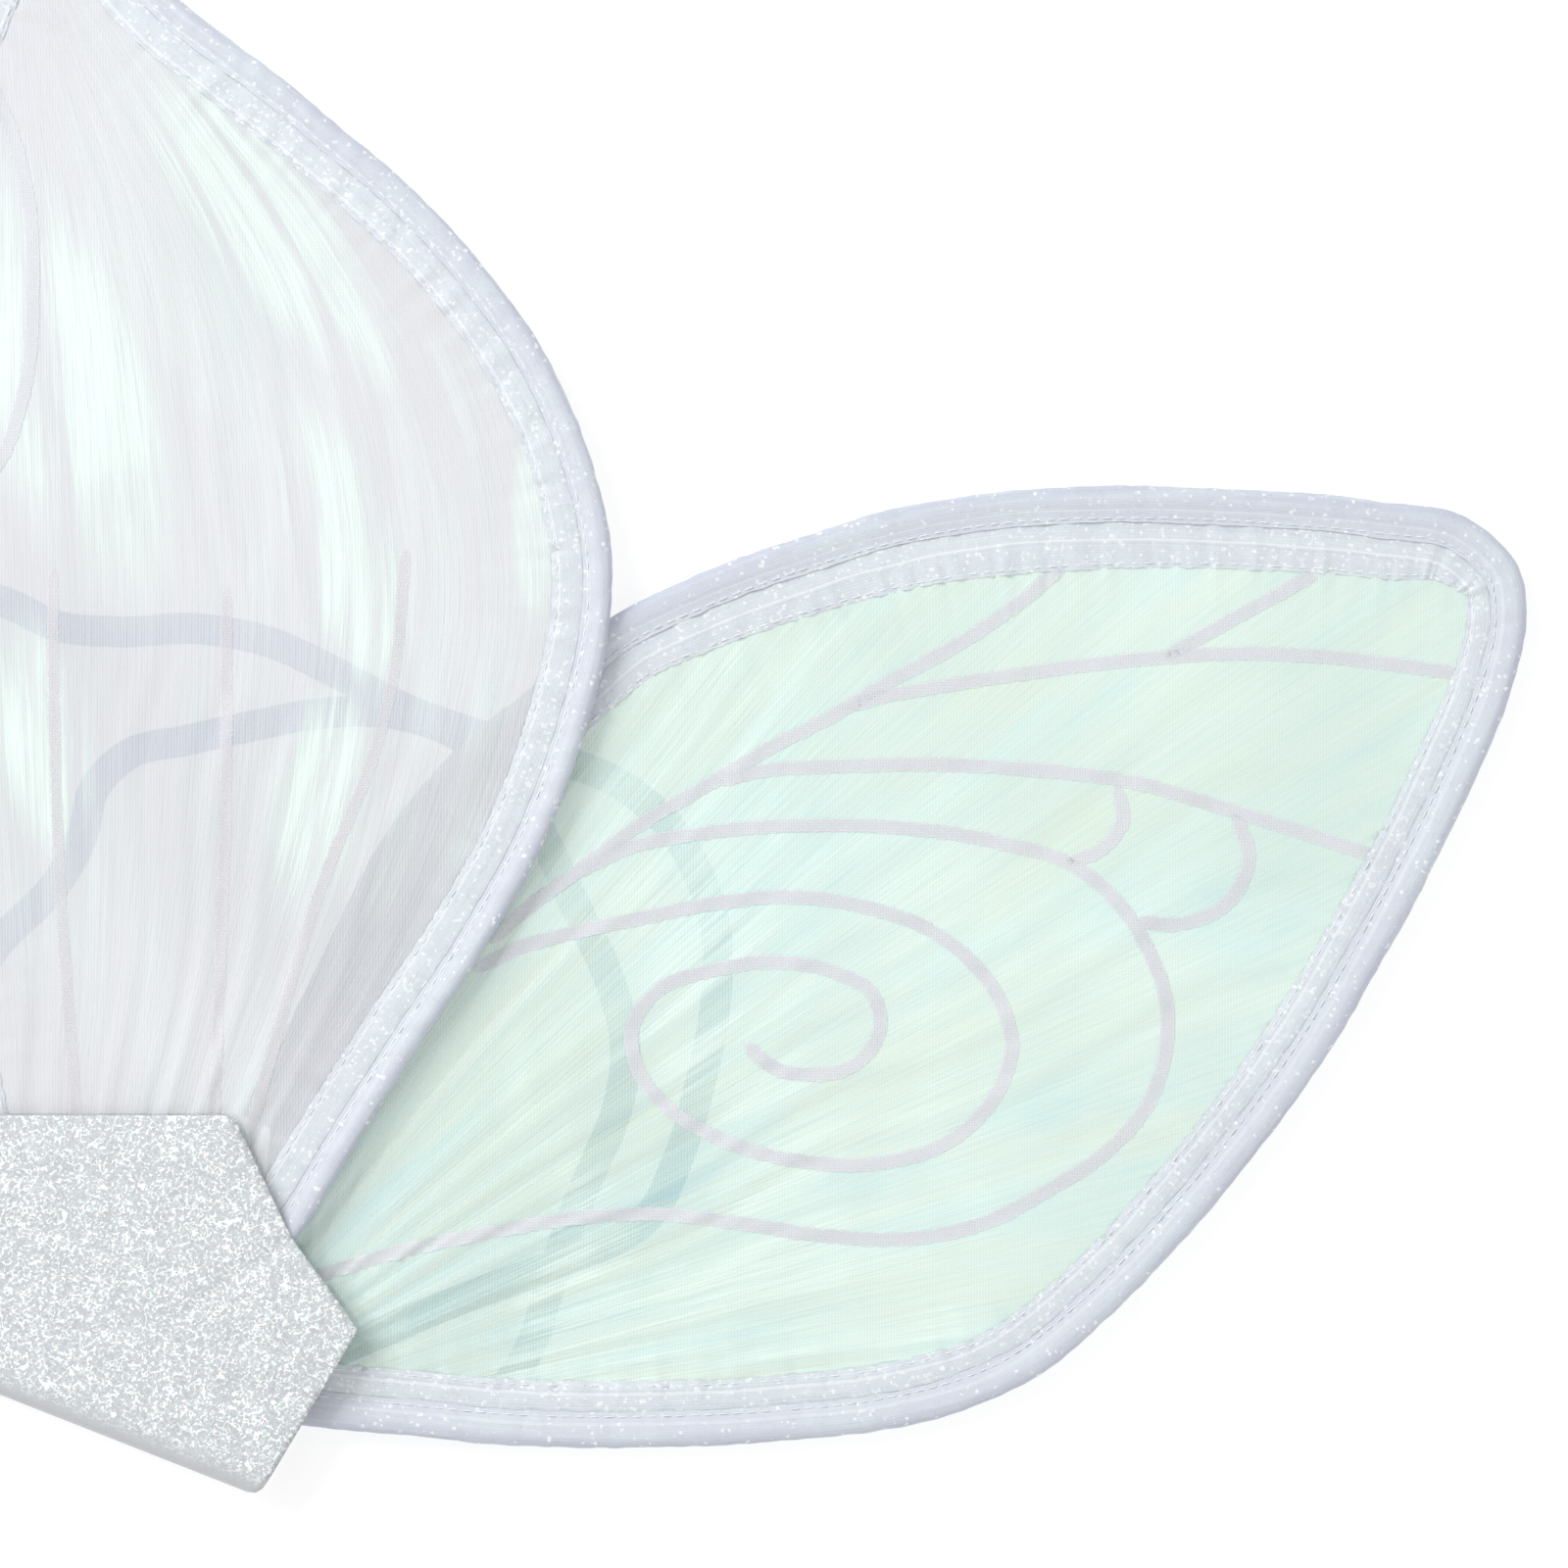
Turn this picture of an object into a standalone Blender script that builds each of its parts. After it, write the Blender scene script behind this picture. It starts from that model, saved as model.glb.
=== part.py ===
"""Fairy wings: four wire-framed wings of sheer iridescent organza, sewn into a glitter-cloth back patch.

The wings lie face up on a table: +X is the wearer's right-hand pair as seen from the front of the wings,
+Y points to the tips of the upper pair and +Z points out of the decorated face. The origin is the middle of
the spine's back face. Run with: blender --background --python part.py
"""

import math

import bmesh
import bpy
import numpy as np

MM = 0.001

# Wire and fabric, in millimetres
WIRE_R = 1.0
CASING_THICK = 3.2
CASING_WALL = 0.35
CASING_SIDES = 6
WIRE_SIDES = 4
LOWER_CASING_W = 7.0
UPPER_CASING_W = 5.6
LOWER_HEM_W = 8.0
UPPER_HEM_W = 6.0
CLOTH = 0.4
SEAM_GAP = 0.5
STEP_ALONG = 13.0
WIRE_STEP = 10.4
BEND_WEIGHT = 25.0
SLEEVE_HALF = 5

# Heights above the table, in millimetres
LOWER_WIRE_Z = 3.8
UPPER_WIRE_Z = 7.4
HEM_ABOVE_WIRE = 0.3
PATCH_TOP = 10.2
PATCH_CLOTH = 0.8
BOARD_Z = 4.9
BOARD_THICK = 0.6

# Back patch, in millimetres: a bow shape, folded round its slanted lower edge
PATCH_INNER_X = 3.4
PATCH_TOP_Y = 19.4
FOLD_Y = -19.7
FOLD_SLOPE = -0.393
PATCH_SHOULDER = (83.0, 19.4)
PATCH_KINK = (94.3, -4.2)
PATCH_POINT = (107.0, -21.7)
PATCH_FOOT = (87.6, -54.1)
FOOT_RADIUS = 3.6

# Spine between the two halves, in millimetres
SPINE_HALF_W = 3.0
SPINE_Y = (-19.4, 19.2)

# Wing outlines, outer edge of the wire casing, right-hand side, millimetres
UPPER_OUTLINE = (
    (95.0, -4.5), (103.8, 9.4), (117.0, 30.2), (132.1, 52.8), (143.4, 73.6), (150.9, 94.3),
    (155.8, 120.8), (152.3, 143.4), (142.5, 166.0), (125.7, 188.7), (101.1, 211.3), (82.0, 226.4),
    (72.3, 234.0), (64.6, 243.0), (60.6, 254.0), (57.6, 265.0), (50.0, 271.5), (42.4, 266.0),
    (36.5, 251.0), (28.0, 231.0), (19.5, 205.0), (12.5, 172.0), (9.4, 139.6), (11.3, 101.9),
    (17.9, 64.2), (23.6, 40.0), (27.8, 19.4), (33.0, 2.0), (42.0, -14.0), (54.0, -23.0),
    (67.0, -24.5), (81.0, -17.5),
)
LOWER_OUTLINE = (
    (94.3, -40.6), (113.2, -42.3), (132.1, -44.2), (169.8, -44.7), (188.7, -43.6), (207.9, -41.5),
    (232.6, -34.0), (252.3, -18.9), (266.6, -3.8), (290.4, 26.4), (308.3, 56.6), (323.2, 86.8),
    (329.2, 101.9), (331.7, 113.2), (330.2, 124.9), (320.8, 134.0), (301.9, 137.7), (283.0, 139.4),
    (254.7, 140.4), (226.4, 138.9), (207.5, 135.3), (188.7, 129.6), (169.8, 122.3), (155.8, 115.5),
    (143.4, 104.7), (122.6, 86.8), (110.0, 70.6), (102.1, 54.7), (84.7, 20.0), (76.0, 0.0),
    (69.0, -14.0), (65.5, -26.0), (69.0, -35.5), (79.0, -39.5),
)

# A wing's cloth and casing start just inside the patch, beyond a line through a point, along a unit normal
UPPER_CLOTH_LINE = ((28.0, 12.0), (0.371, 0.929))
LOWER_CLOTH_LINE = ((84.0, 0.0), (1.0, 0.0))

# Elastic shoulder strap, right-hand side: x, y and z of its middle line, millimetres
STRAP_W = 6.0
STRAP_THICK = 1.0
STRAP_POINTS = 78
STRAP_ROUTE = (
    (98.0, -28.5, 1.6), (107.0, -24.6, 1.7), (118.0, -19.8, 1.85), (134.0, -13.6, 1.95),
    (144.0, -10.0, 1.95), (153.0, -6.6, 1.9), (163.0, 0.0, 1.2), (168.0, 10.0, 0.6),
    (172.5, 25.0, 0.5), (175.5, 41.0, 0.5), (175.6, 54.0, 0.5), (172.0, 66.0, 0.5),
    (166.0, 74.5, 0.5), (157.2, 81.8, 0.5), (143.0, 90.0, 0.5), (128.0, 97.0, 0.5),
    (113.0, 101.8, 0.5), (100.0, 106.2, 0.5), (88.0, 110.5, 0.5), (75.5, 113.0, 0.5),
    (60.0, 112.4, 0.5), (48.0, 113.6, 0.5), (38.5, 118.0, 0.5), (29.5, 120.0, 0.5),
    (21.5, 115.5, 0.5), (17.5, 106.0, 0.5), (15.0, 88.0, 0.5), (13.2, 70.0, 0.5),
    (13.6, 55.0, 0.5), (18.0, 46.0, 0.5), (25.0, 43.0, 0.5), (32.0, 46.6, 0.5),
    (38.5, 54.0, 0.5), (47.5, 63.0, 0.5), (53.0, 72.6, 0.5), (55.4, 82.0, 0.5),
    (62.5, 89.0, 0.5), (73.0, 91.4, 0.5), (85.0, 93.2, 0.5), (99.0, 94.4, 0.5),
    (113.0, 93.8, 0.5), (126.0, 89.6, 0.5), (136.5, 81.6, 0.5), (143.0, 71.0, 0.5),
    (148.6, 59.0, 0.5), (155.0, 45.0, 0.5), (158.0, 33.0, 0.5), (156.4, 20.0, 0.5),
    (151.4, 8.0, 0.5), (147.0, -3.0, 0.5), (143.4, -14.0, 0.5), (140.4, -24.0, 0.5),
    (135.0, -33.0, 0.5), (126.0, -37.8, 0.5), (115.0, -38.6, 0.7), (104.0, -37.4, 1.4),
    (92.0, -35.4, 1.6),
)

COLOURS = {
    "cover": (0.86, 0.89, 0.88, 0.45, 0.1),
    "spine": (0.84, 0.87, 0.87, 0.5, 0.1),
    "core": (0.8, 0.8, 0.8, 0.5, 0.0),
    "board": (0.75, 0.75, 0.74, 0.7, 0.0),
    "wire": (0.62, 0.63, 0.65, 0.3, 1.0),
    "clamp": (0.7, 0.71, 0.72, 0.35, 1.0),
    "casing": (0.82, 0.86, 0.9, 0.5, 0.0),
    "hem": (0.84, 0.9, 0.9, 0.4, 0.0),
    "membrane": (0.8, 0.93, 0.88, 0.35, 0.0),
    "strap": (0.66, 0.74, 0.88, 0.7, 0.0),
}


def clear_scene():
    for obj in list(bpy.data.objects):
        bpy.data.objects.remove(obj)


def new_collection(name):
    collection = bpy.data.collections.new(name)
    bpy.context.scene.collection.children.link(collection)
    return collection


def make_material(name, kind):
    red, green, blue, rough, metal = COLOURS[kind]
    material = bpy.data.materials.new(name)
    material.use_nodes = True
    shader = material.node_tree.nodes["Principled BSDF"]
    shader.inputs["Base Color"].default_value = (red, green, blue, 1.0)
    shader.inputs["Roughness"].default_value = rough
    shader.inputs["Metallic"].default_value = metal
    material.diffuse_color = (red, green, blue, 1.0)
    return material


def add_object(name, data, collection, kind):
    obj = bpy.data.objects.new(name, data)
    collection.objects.link(obj)
    data.materials.append(make_material(name, kind))
    return obj


# Planar outlines. A path is an array of points in millimetres.


def smooth(points, closed=False, fine=24):
    """A dense smooth curve through the points, its tangents weighted by the spans on either side."""
    p = np.array(points, float)
    count = len(p)
    spans = count if closed else count - 1
    after = np.roll(p, -1, axis=0) - p
    before = np.roll(after, 1, axis=0)
    if not closed:
        before[0] = after[0]
        after[-1] = before[-1]
    long_after = np.linalg.norm(after, axis=1)[:, None]
    long_before = np.linalg.norm(before, axis=1)[:, None]
    tangent = (before / long_before * long_after + after / long_after * long_before) / (long_after + long_before)
    rows = []
    for i in range(spans):
        j = (i + 1) % count
        length = long_after[i]
        for t in np.arange(fine) / fine:
            h = (2 * t**3 - 3 * t**2 + 1, t**3 - 2 * t**2 + t, -2 * t**3 + 3 * t**2, t**3 - t**2)
            rows.append(h[0] * p[i] + h[1] * length * tangent[i] + h[2] * p[j] + h[3] * length * tangent[j])
    if not closed:
        rows.append(p[-1])
    return np.array(rows)


def resample(path, step=None, count=None):
    """The open path with points evenly spaced along it, or closer together round its bends where step is given."""
    leg = np.diff(path, axis=0)
    length = np.linalg.norm(leg, axis=1)
    if step is not None:
        turn = np.abs(np.diff(np.unwrap(np.arctan2(leg[:, 1], leg[:, 0]))))
        length = length + BEND_WEIGHT * np.concatenate([[0], turn])
    along = np.concatenate([[0], np.cumsum(length)])
    if count is None:
        count = max(3, round(along[-1] / step) + 1)
    at = np.linspace(0, along[-1], count)
    return np.stack([np.interp(at, along, path[:, k]) for k in range(path.shape[1])], axis=1)


def inward(loop, distance):
    """A closed counter-clockwise loop moved towards its inside, without the folds that a tight bend would make."""
    tangent = np.roll(loop, -1, axis=0) - np.roll(loop, 1, axis=0)
    tangent /= np.linalg.norm(tangent, axis=1)[:, None]
    moved = loop + distance * np.stack([-tangent[:, 1], tangent[:, 0]], axis=1)
    nearest = np.linalg.norm(moved[:, None] - loop[None], axis=2).min(axis=1)
    return moved[nearest > 0.998 * distance]


def run_beyond(loop, line):
    """The stretch of a closed loop that lies beyond a line, which is a point and a normal, as an open path."""
    origin, normal = np.array(line)
    beyond = (loop - origin) @ normal > 0
    first = next(i for i in range(len(loop)) if beyond[i] and not beyond[i - 1])
    turned = np.roll(loop, -first, axis=0)
    return turned[: int(np.argmin(np.roll(beyond, -first)))]


def on_side(path, side):
    """The right-hand path, or its mirror image for the left."""
    return path * np.array([side] + [1] * (path.shape[1] - 1))


# Solids


def poly_curve(name, path, z, closed=False, dimensions="3D"):
    curve = bpy.data.curves.new(name, "CURVE")
    curve.dimensions = dimensions
    curve.twist_mode = "Z_UP"
    spline = curve.splines.new("POLY")
    spline.points.add(len(path) - 1)
    for point, row in zip(spline.points, path):
        height = row[2] if len(row) > 2 else z
        point.co = (row[0] * MM, row[1] * MM, height * MM, 1.0)
    spline.use_cyclic_u = closed
    return curve


def section(name, helpers, outline):
    """A closed section for a swept curve, u across and v up, in millimetres, turned so that its faces look out."""
    curve = poly_curve(name, np.array(outline)[::-1], 0.0, closed=True, dimensions="2D")
    guide = bpy.data.objects.new(name, curve)
    helpers.objects.link(guide)
    guide.hide_render = True
    guide.display_type = "WIRE"
    return guide


def oval(width, height, sides):
    turn = [2 * math.pi * (k + 0.5) / sides for k in range(sides)]
    return [(math.cos(a) * width / 2, math.sin(a) * height / 2) for a in turn]


def rectangle(width, height):
    return [(-width / 2, -height / 2), (width / 2, -height / 2), (width / 2, height / 2), (-width / 2, height / 2)]


def sweep(name, path, z, guide, collection, kind, wall=None):
    """The section carried along the path: capped, or with a wall thickness and open ends."""
    curve = poly_curve(name, path, z)
    curve.bevel_mode = "OBJECT"
    curve.bevel_object = guide
    curve.use_fill_caps = wall is None
    obj = add_object(name, curve, collection, kind)
    if wall is not None:
        shell = obj.modifiers.new("wall", "SOLIDIFY")
        shell.thickness = wall * MM
        shell.offset = -1.0
    return obj


def flat_sheet(name, outline, bottom, thick, collection, kind):
    """A flat closed outline with a thickness, its underside at the height given."""
    curve = poly_curve(name, outline, 0.0, closed=True, dimensions="2D")
    curve.fill_mode = "BOTH"
    curve.extrude = thick / 2 * MM
    obj = add_object(name, curve, collection, kind)
    obj.location.z = (bottom + thick / 2) * MM
    return obj


def prism(name, outline, low, high):
    """A mesh of the outline between two heights."""
    mesh = bpy.data.meshes.new(name)
    shape = bmesh.new()
    base = shape.faces.new([shape.verts.new((x * MM, y * MM, low * MM)) for x, y in outline])
    grown = bmesh.ops.extrude_face_region(shape, geom=[base])
    raised = [item for item in grown["geom"] if isinstance(item, bmesh.types.BMVert)]
    bmesh.ops.translate(shape, verts=raised, vec=(0, 0, (high - low) * MM))
    bmesh.ops.recalc_face_normals(shape, faces=shape.faces)
    shape.to_mesh(mesh)
    shape.free()
    return mesh


def box(name, low, high, collection, kind):
    outline = [(low[0], low[1]), (high[0], low[1]), (high[0], high[1]), (low[0], high[1])]
    return add_object(name, prism(name, outline, low[2], high[2]), collection, kind)


def cut_with(obj, name, mesh, helpers):
    cutter = bpy.data.objects.new(name, mesh)
    helpers.objects.link(cutter)
    cutter.hide_render = True
    cutter.display_type = "WIRE"
    cut = obj.modifiers.new("cut", "BOOLEAN")
    cut.operation = "DIFFERENCE"
    cut.object = cutter


def clamp_sleeve(name, path, z, collection):
    """A crimped sleeve round the two ends of a wing's wire, on a nearly straight stretch of it."""
    curve = poly_curve(name, path, z)
    curve.bevel_depth = (WIRE_R + 0.7) * MM
    curve.bevel_resolution = 2
    obj = add_object(name, curve, collection, "clamp")
    shell = obj.modifiers.new("wall", "SOLIDIFY")
    shell.thickness = 0.4 * MM
    shell.offset = -1.0
    return obj


# Sub-assemblies


def patch_outline():
    """The right half of the back patch, counter-clockwise, with a rounded foot."""
    foot = np.array(PATCH_FOOT)
    fold_end = np.array((PATCH_INNER_X, FOLD_Y + FOLD_SLOPE * PATCH_INNER_X))
    to_fold = (fold_end - foot) / np.linalg.norm(fold_end - foot)
    to_point = (np.array(PATCH_POINT) - foot) / np.linalg.norm(np.array(PATCH_POINT) - foot)
    half = math.acos(float(to_fold @ to_point)) / 2
    start = foot + to_fold * FOOT_RADIUS / math.tan(half)
    end = foot + to_point * FOOT_RADIUS / math.tan(half)
    rounded = []
    for t in np.linspace(0, 1, 6):
        rounded.append(tuple((1 - t) ** 2 * start + 2 * t * (1 - t) * foot + t**2 * end))
    inner_top = (PATCH_INNER_X, PATCH_TOP_Y)
    return [tuple(fold_end), *rounded, PATCH_POINT, PATCH_KINK, PATCH_SHOULDER, inner_top]


def make_cover(tag, side, parts, helpers):
    """Glitter cloth over the front and back of the hub, one piece folded round the lower edge."""
    outline = [(x * side, y) for x, y in patch_outline()]
    cover = add_object(f"cover_{tag}", prism(f"cover_{tag}", outline, 0.0, PATCH_TOP), parts, "cover")
    inside = [(-5.0, FOLD_Y + 5.0 * -FOLD_SLOPE), (140.0, FOLD_Y + 140.0 * FOLD_SLOPE), (140.0, 60.0), (-5.0, 60.0)]
    rise = PATCH_CLOTH / math.cos(math.atan(FOLD_SLOPE))
    hollow = [(x * side, y + (rise if y < 50 else 0)) for x, y in inside]
    cut_with(cover, f"hollow_{tag}", prism(f"hollow_{tag}", hollow, PATCH_CLOTH, PATCH_TOP - PATCH_CLOTH), helpers)


def make_board(tag, side, parts):
    """A stiff board sewn inside the patch."""
    corners = [(8.0, -19.0), (47.0, -33.0), (47.0, 14.0), (8.0, 14.0)]
    outline = np.array([(x * side, y) for x, y in corners])
    flat_sheet(f"stiffener_{tag}", outline, BOARD_Z, BOARD_THICK, parts, "board")


def make_wing(name, tag, side, loop, casing_w, hem_w, wire_z, line, guides, parts):
    """Wire casing, hem band and membrane of one wing, beyond the line given."""
    casing = resample(run_beyond(inward(loop, casing_w / 2), line), STEP_ALONG)
    sweep(f"{name}_casing_{tag}", on_side(casing, side), wire_z, guides[f"{name}_casing"], parts, "casing",
          CASING_WALL)
    edge = resample(run_beyond(inward(loop, casing_w + SEAM_GAP), line), STEP_ALONG)
    inner = resample(run_beyond(inward(loop, casing_w + SEAM_GAP + hem_w), line), STEP_ALONG)
    band = np.concatenate([edge, inner[::-1]])
    flat_sheet(f"{name}_hem_{tag}", on_side(band, side), wire_z + HEM_ABOVE_WIRE, CLOTH, parts, "hem")
    flat_sheet(f"{name}_membrane_{tag}", on_side(edge, side), wire_z - CLOTH, CLOTH, parts, "membrane")


def make_wire(name, tag, side, loop, casing_w, wire_z, line, guides, parts):
    """A wing's steel wire, a whole loop but for the gap where its ends meet in a crimped sleeve in the patch."""
    wire = inward(loop, casing_w / 2)
    start = int(np.argmin(wire @ np.array(line[1])))
    opened = np.roll(wire, -start, axis=0)
    sweep(f"{name}_wire_{tag}", on_side(resample(opened[2:-2], WIRE_STEP), side), wire_z, guides["wire"],
          parts, "wire")
    near = resample(np.roll(wire, len(wire) // 2 - start, axis=0), 1.0)
    middle = int(np.argmin(near @ np.array(line[1])))
    sleeve = resample(near[middle - SLEEVE_HALF : middle + SLEEVE_HALF + 1], count=5)
    clamp_sleeve(f"{name}_clamp_{tag}", on_side(sleeve, side), wire_z, parts)


def make_strap(tag, side, guides, parts):
    """The elastic shoulder loop, lying on the table under the wings, both ends sewn into the patch."""
    route = resample(smooth(STRAP_ROUTE), count=STRAP_POINTS)
    sweep(f"strap_{tag}", on_side(route, side), 0.0, guides["strap"], parts, "strap")


def make_spine(parts, helpers):
    """The bound strip between the two halves, and the stay inside it."""
    low = (-SPINE_HALF_W, SPINE_Y[0], 0.0)
    high = (SPINE_HALF_W, SPINE_Y[1], PATCH_TOP)
    cover = box("spine_cover", low, high, parts, "spine")
    inner = SPINE_HALF_W - PATCH_CLOTH
    hollow = [(-inner, -30.0), (inner, -30.0), (inner, 30.0), (-inner, 30.0)]
    cut_with(cover, "spine_hollow", prism("spine_hollow", hollow, PATCH_CLOTH, PATCH_TOP - PATCH_CLOTH), helpers)
    box("spine_stay", (-1.6, SPINE_Y[0] + 1.0, 2.2), (1.6, SPINE_Y[1] - 1.0, 8.0), parts, "core")


def main():
    clear_scene()
    parts = new_collection("fairy_wings")
    helpers = new_collection("guides")
    guides = {
        "wire": section("wire_section", helpers, oval(2 * WIRE_R, 2 * WIRE_R, WIRE_SIDES)),
        "strap": section("strap_section", helpers, rectangle(STRAP_W, STRAP_THICK)),
        "upper_casing": section("upper_casing_section", helpers, oval(UPPER_CASING_W, CASING_THICK, CASING_SIDES)),
        "lower_casing": section("lower_casing_section", helpers, oval(LOWER_CASING_W, CASING_THICK, CASING_SIDES)),
    }
    upper = smooth(UPPER_OUTLINE, closed=True)
    lower = smooth(LOWER_OUTLINE, closed=True)
    make_spine(parts, helpers)
    for tag, side in (("right", 1), ("left", -1)):
        make_cover(tag, side, parts, helpers)
        make_board(tag, side, parts)
        make_wing("upper", tag, side, upper, UPPER_CASING_W, UPPER_HEM_W, UPPER_WIRE_Z, UPPER_CLOTH_LINE,
                  guides, parts)
        make_wing("lower", tag, side, lower, LOWER_CASING_W, LOWER_HEM_W, LOWER_WIRE_Z, LOWER_CLOTH_LINE,
                  guides, parts)
        make_wire("upper", tag, side, upper, UPPER_CASING_W, UPPER_WIRE_Z, UPPER_CLOTH_LINE, guides, parts)
        make_wire("lower", tag, side, lower, LOWER_CASING_W, LOWER_WIRE_Z, LOWER_CLOTH_LINE, guides, parts)
        make_strap(tag, side, guides, parts)


main()
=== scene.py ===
"""Looks of the fairy wings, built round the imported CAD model.

Sheer organza on wire, a glitter patch and elastic shoulder loops. Lengths are in millimetres until a mesh is
made, and +X is the right-hand side. The left-hand side is its mirror.
"""

import math

import bpy
import numpy as np
from mathutils.geometry import delaunay_2d_cdt
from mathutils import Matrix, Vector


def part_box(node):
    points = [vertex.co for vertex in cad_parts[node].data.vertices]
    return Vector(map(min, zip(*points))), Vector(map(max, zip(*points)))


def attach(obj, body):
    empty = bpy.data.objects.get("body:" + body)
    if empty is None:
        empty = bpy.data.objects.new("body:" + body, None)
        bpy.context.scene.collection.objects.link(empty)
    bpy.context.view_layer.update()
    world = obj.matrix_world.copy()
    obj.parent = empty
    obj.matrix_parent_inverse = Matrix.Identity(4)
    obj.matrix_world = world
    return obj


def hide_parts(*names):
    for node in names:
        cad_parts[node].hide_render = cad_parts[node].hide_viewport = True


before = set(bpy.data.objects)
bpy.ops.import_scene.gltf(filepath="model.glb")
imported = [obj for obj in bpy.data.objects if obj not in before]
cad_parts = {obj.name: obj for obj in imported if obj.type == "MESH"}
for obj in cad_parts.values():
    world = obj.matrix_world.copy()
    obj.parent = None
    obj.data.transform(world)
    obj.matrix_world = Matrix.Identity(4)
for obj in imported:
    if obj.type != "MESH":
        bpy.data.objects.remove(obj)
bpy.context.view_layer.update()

MM = 0.001
SIDES = (("right", 1), ("left", -1))

# Outer edge of each wing's casing, right-hand side
UPPER_OUTLINE = (
    (95.0, -4.5), (103.8, 9.4), (117.0, 30.2), (132.1, 52.8), (143.4, 73.6), (150.9, 94.3),
    (155.8, 120.8), (152.3, 143.4), (142.5, 166.0), (125.7, 188.7), (101.1, 211.3), (82.0, 226.4),
    (72.3, 234.0), (64.6, 243.0), (60.6, 254.0), (57.6, 265.0), (50.0, 271.5), (42.4, 266.0),
    (36.5, 251.0), (28.0, 231.0), (19.5, 205.0), (12.5, 172.0), (9.4, 139.6), (11.3, 101.9),
    (17.9, 64.2), (23.6, 40.0), (27.8, 19.4), (33.0, 2.0), (42.0, -14.0), (54.0, -23.0),
    (67.0, -24.5), (81.0, -17.5),
)
LOWER_OUTLINE = (
    (94.3, -40.6), (113.2, -42.3), (132.1, -44.2), (169.8, -44.7), (188.7, -43.6), (207.9, -41.5),
    (232.6, -34.0), (252.3, -18.9), (266.6, -3.8), (290.4, 26.4), (308.3, 56.6), (323.2, 86.8),
    (329.2, 101.9), (331.7, 113.2), (330.2, 124.9), (320.8, 134.0), (301.9, 137.7), (283.0, 139.4),
    (254.7, 140.4), (226.4, 138.9), (207.5, 135.3), (188.7, 129.6), (169.8, 122.3), (155.8, 115.5),
    (143.4, 104.7), (122.6, 86.8), (110.0, 70.6), (102.1, 54.7), (84.7, 20.0), (76.0, 0.0),
    (69.0, -14.0), (65.5, -26.0), (69.0, -35.5), (79.0, -39.5),
)

# The hem's width at shares of the way round each wing
UPPER_HEM = ((0.0, 6.0), (1.0, 6.0))
LOWER_HEM = (
    (0.0, 5.2), (0.1, 5.9), (0.28, 5.2), (0.37, 5.6), (0.46, 5.2), (0.52, 4.2), (0.57, 7.8),
    (0.69, 9.2), (0.77, 7.7), (0.84, 6.4), (1.0, 5.2),
)

# Each wing: casing and hem widths, wire height, the line in the patch where its cloth starts (a point and a
# normal), the point its folds run out from, and how deep its puckers are
WINGS = {
    "upper": {
        "outline": UPPER_OUTLINE, "casing": 5.6, "hem": UPPER_HEM, "z": 7.4,
        "line": ((28.0, 12.0), (0.371, 0.929)), "focus": (66.0, -120.0), "pucker": 0.06,
    },
    "lower": {
        "outline": LOWER_OUTLINE, "casing": 7.0, "hem": LOWER_HEM, "z": 3.8,
        "line": ((84.0, 0.0), (1.0, 0.0)), "focus": (58.0, -48.0), "pucker": 0.08,
    },
}
WIRE_R = 1.0
TUBE_HALF = 1.35
TUBE_CROWN = 0.32
TUBE_SEAM = 0.32
HEM_TUCK = 1.6
STITCH_INSET = 0.9
RING_STEP = 0.9
SHEET_STEP = 1.5
VEIN_HALF = 1.3
BAND_HALF = 1.1
VEIN_RISES = (0.14, 0.05)

# Printed veins, middle lines
LOWER_VEINS = (
    ((132, 52.4), (140, 59.6), (149.5, 66.6), (160.4, 74.8), (173.6, 82.6), (186.8, 90.4),
     (198.1, 96.2), (207.5, 101.9), (224.5, 111.3), (239.6, 122.6), (244, 127)),
    ((200.8, 97.7), (207, 99.7), (215.1, 101.2), (235.8, 104.4), (254.7, 106.8), (283, 108.1), (301.9, 106.6),
     (319, 104.2)),
    ((262, 107.5), (277.4, 116), (291.5, 124.2), (295, 127)),
    ((175.2, 83.4), (185, 85.6), (198.1, 86.4), (217, 86.8), (235.8, 85.8), (254.7, 83.6), (273.6, 78.3),
     (288.7, 73.6), (306, 68)),
    ((148, 65.5), (158.5, 70.6), (173.6, 73.6), (198.1, 75.1), (217, 74), (232.1, 71.3), (243.4, 67.9),
     (252.8, 60.4), (258.5, 51.9), (262.3, 41.5), (262.3, 32.1), (258.5, 20.8), (250.9, 12.3),
     (239.6, 4.7), (226.4, -1.9), (211.3, -4.7), (198.1, -4.2), (179.2, -1.5), (166, 0),
     (150.9, -0.4), (132.1, -3.4), (113.2, -7.5), (92, -14)),
    ((252.8, 83), (253.8, 75.5), (250, 70.5), (243.4, 67.9)),
    ((275.5, 77.4), (278.3, 68.9), (274.5, 60.4), (265, 56), (256.6, 56.6)),
    ((129, 47), (137, 51.2), (145, 53.6), (158.5, 56.6), (175.5, 60), (188.7, 61.3), (203.8, 59.4),
     (215.1, 55.7), (224.5, 49.1), (230.2, 41.5), (232.6, 32.1), (229.2, 22.6), (220.8, 14.2),
     (207.5, 10), (194.3, 10), (177.4, 14.2), (166, 20.8), (160.4, 28.3), (159.4, 35.8),
     (164.2, 43), (175.5, 47.2), (186.8, 48.7), (198.1, 46.8), (205.7, 42.5), (207.2, 35.8),
     (202.8, 29.2), (194.3, 27), (186.8, 28.3), (181.1, 33)),
)
UPPER_VEINS = (
    ((27, 226), (36, 217), (42.5, 200), (44.3, 177), (42.5, 158), (37, 144), (28.5, 137), (22, 142),
     (21, 152), (26, 160), (32, 157)),
)
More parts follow.
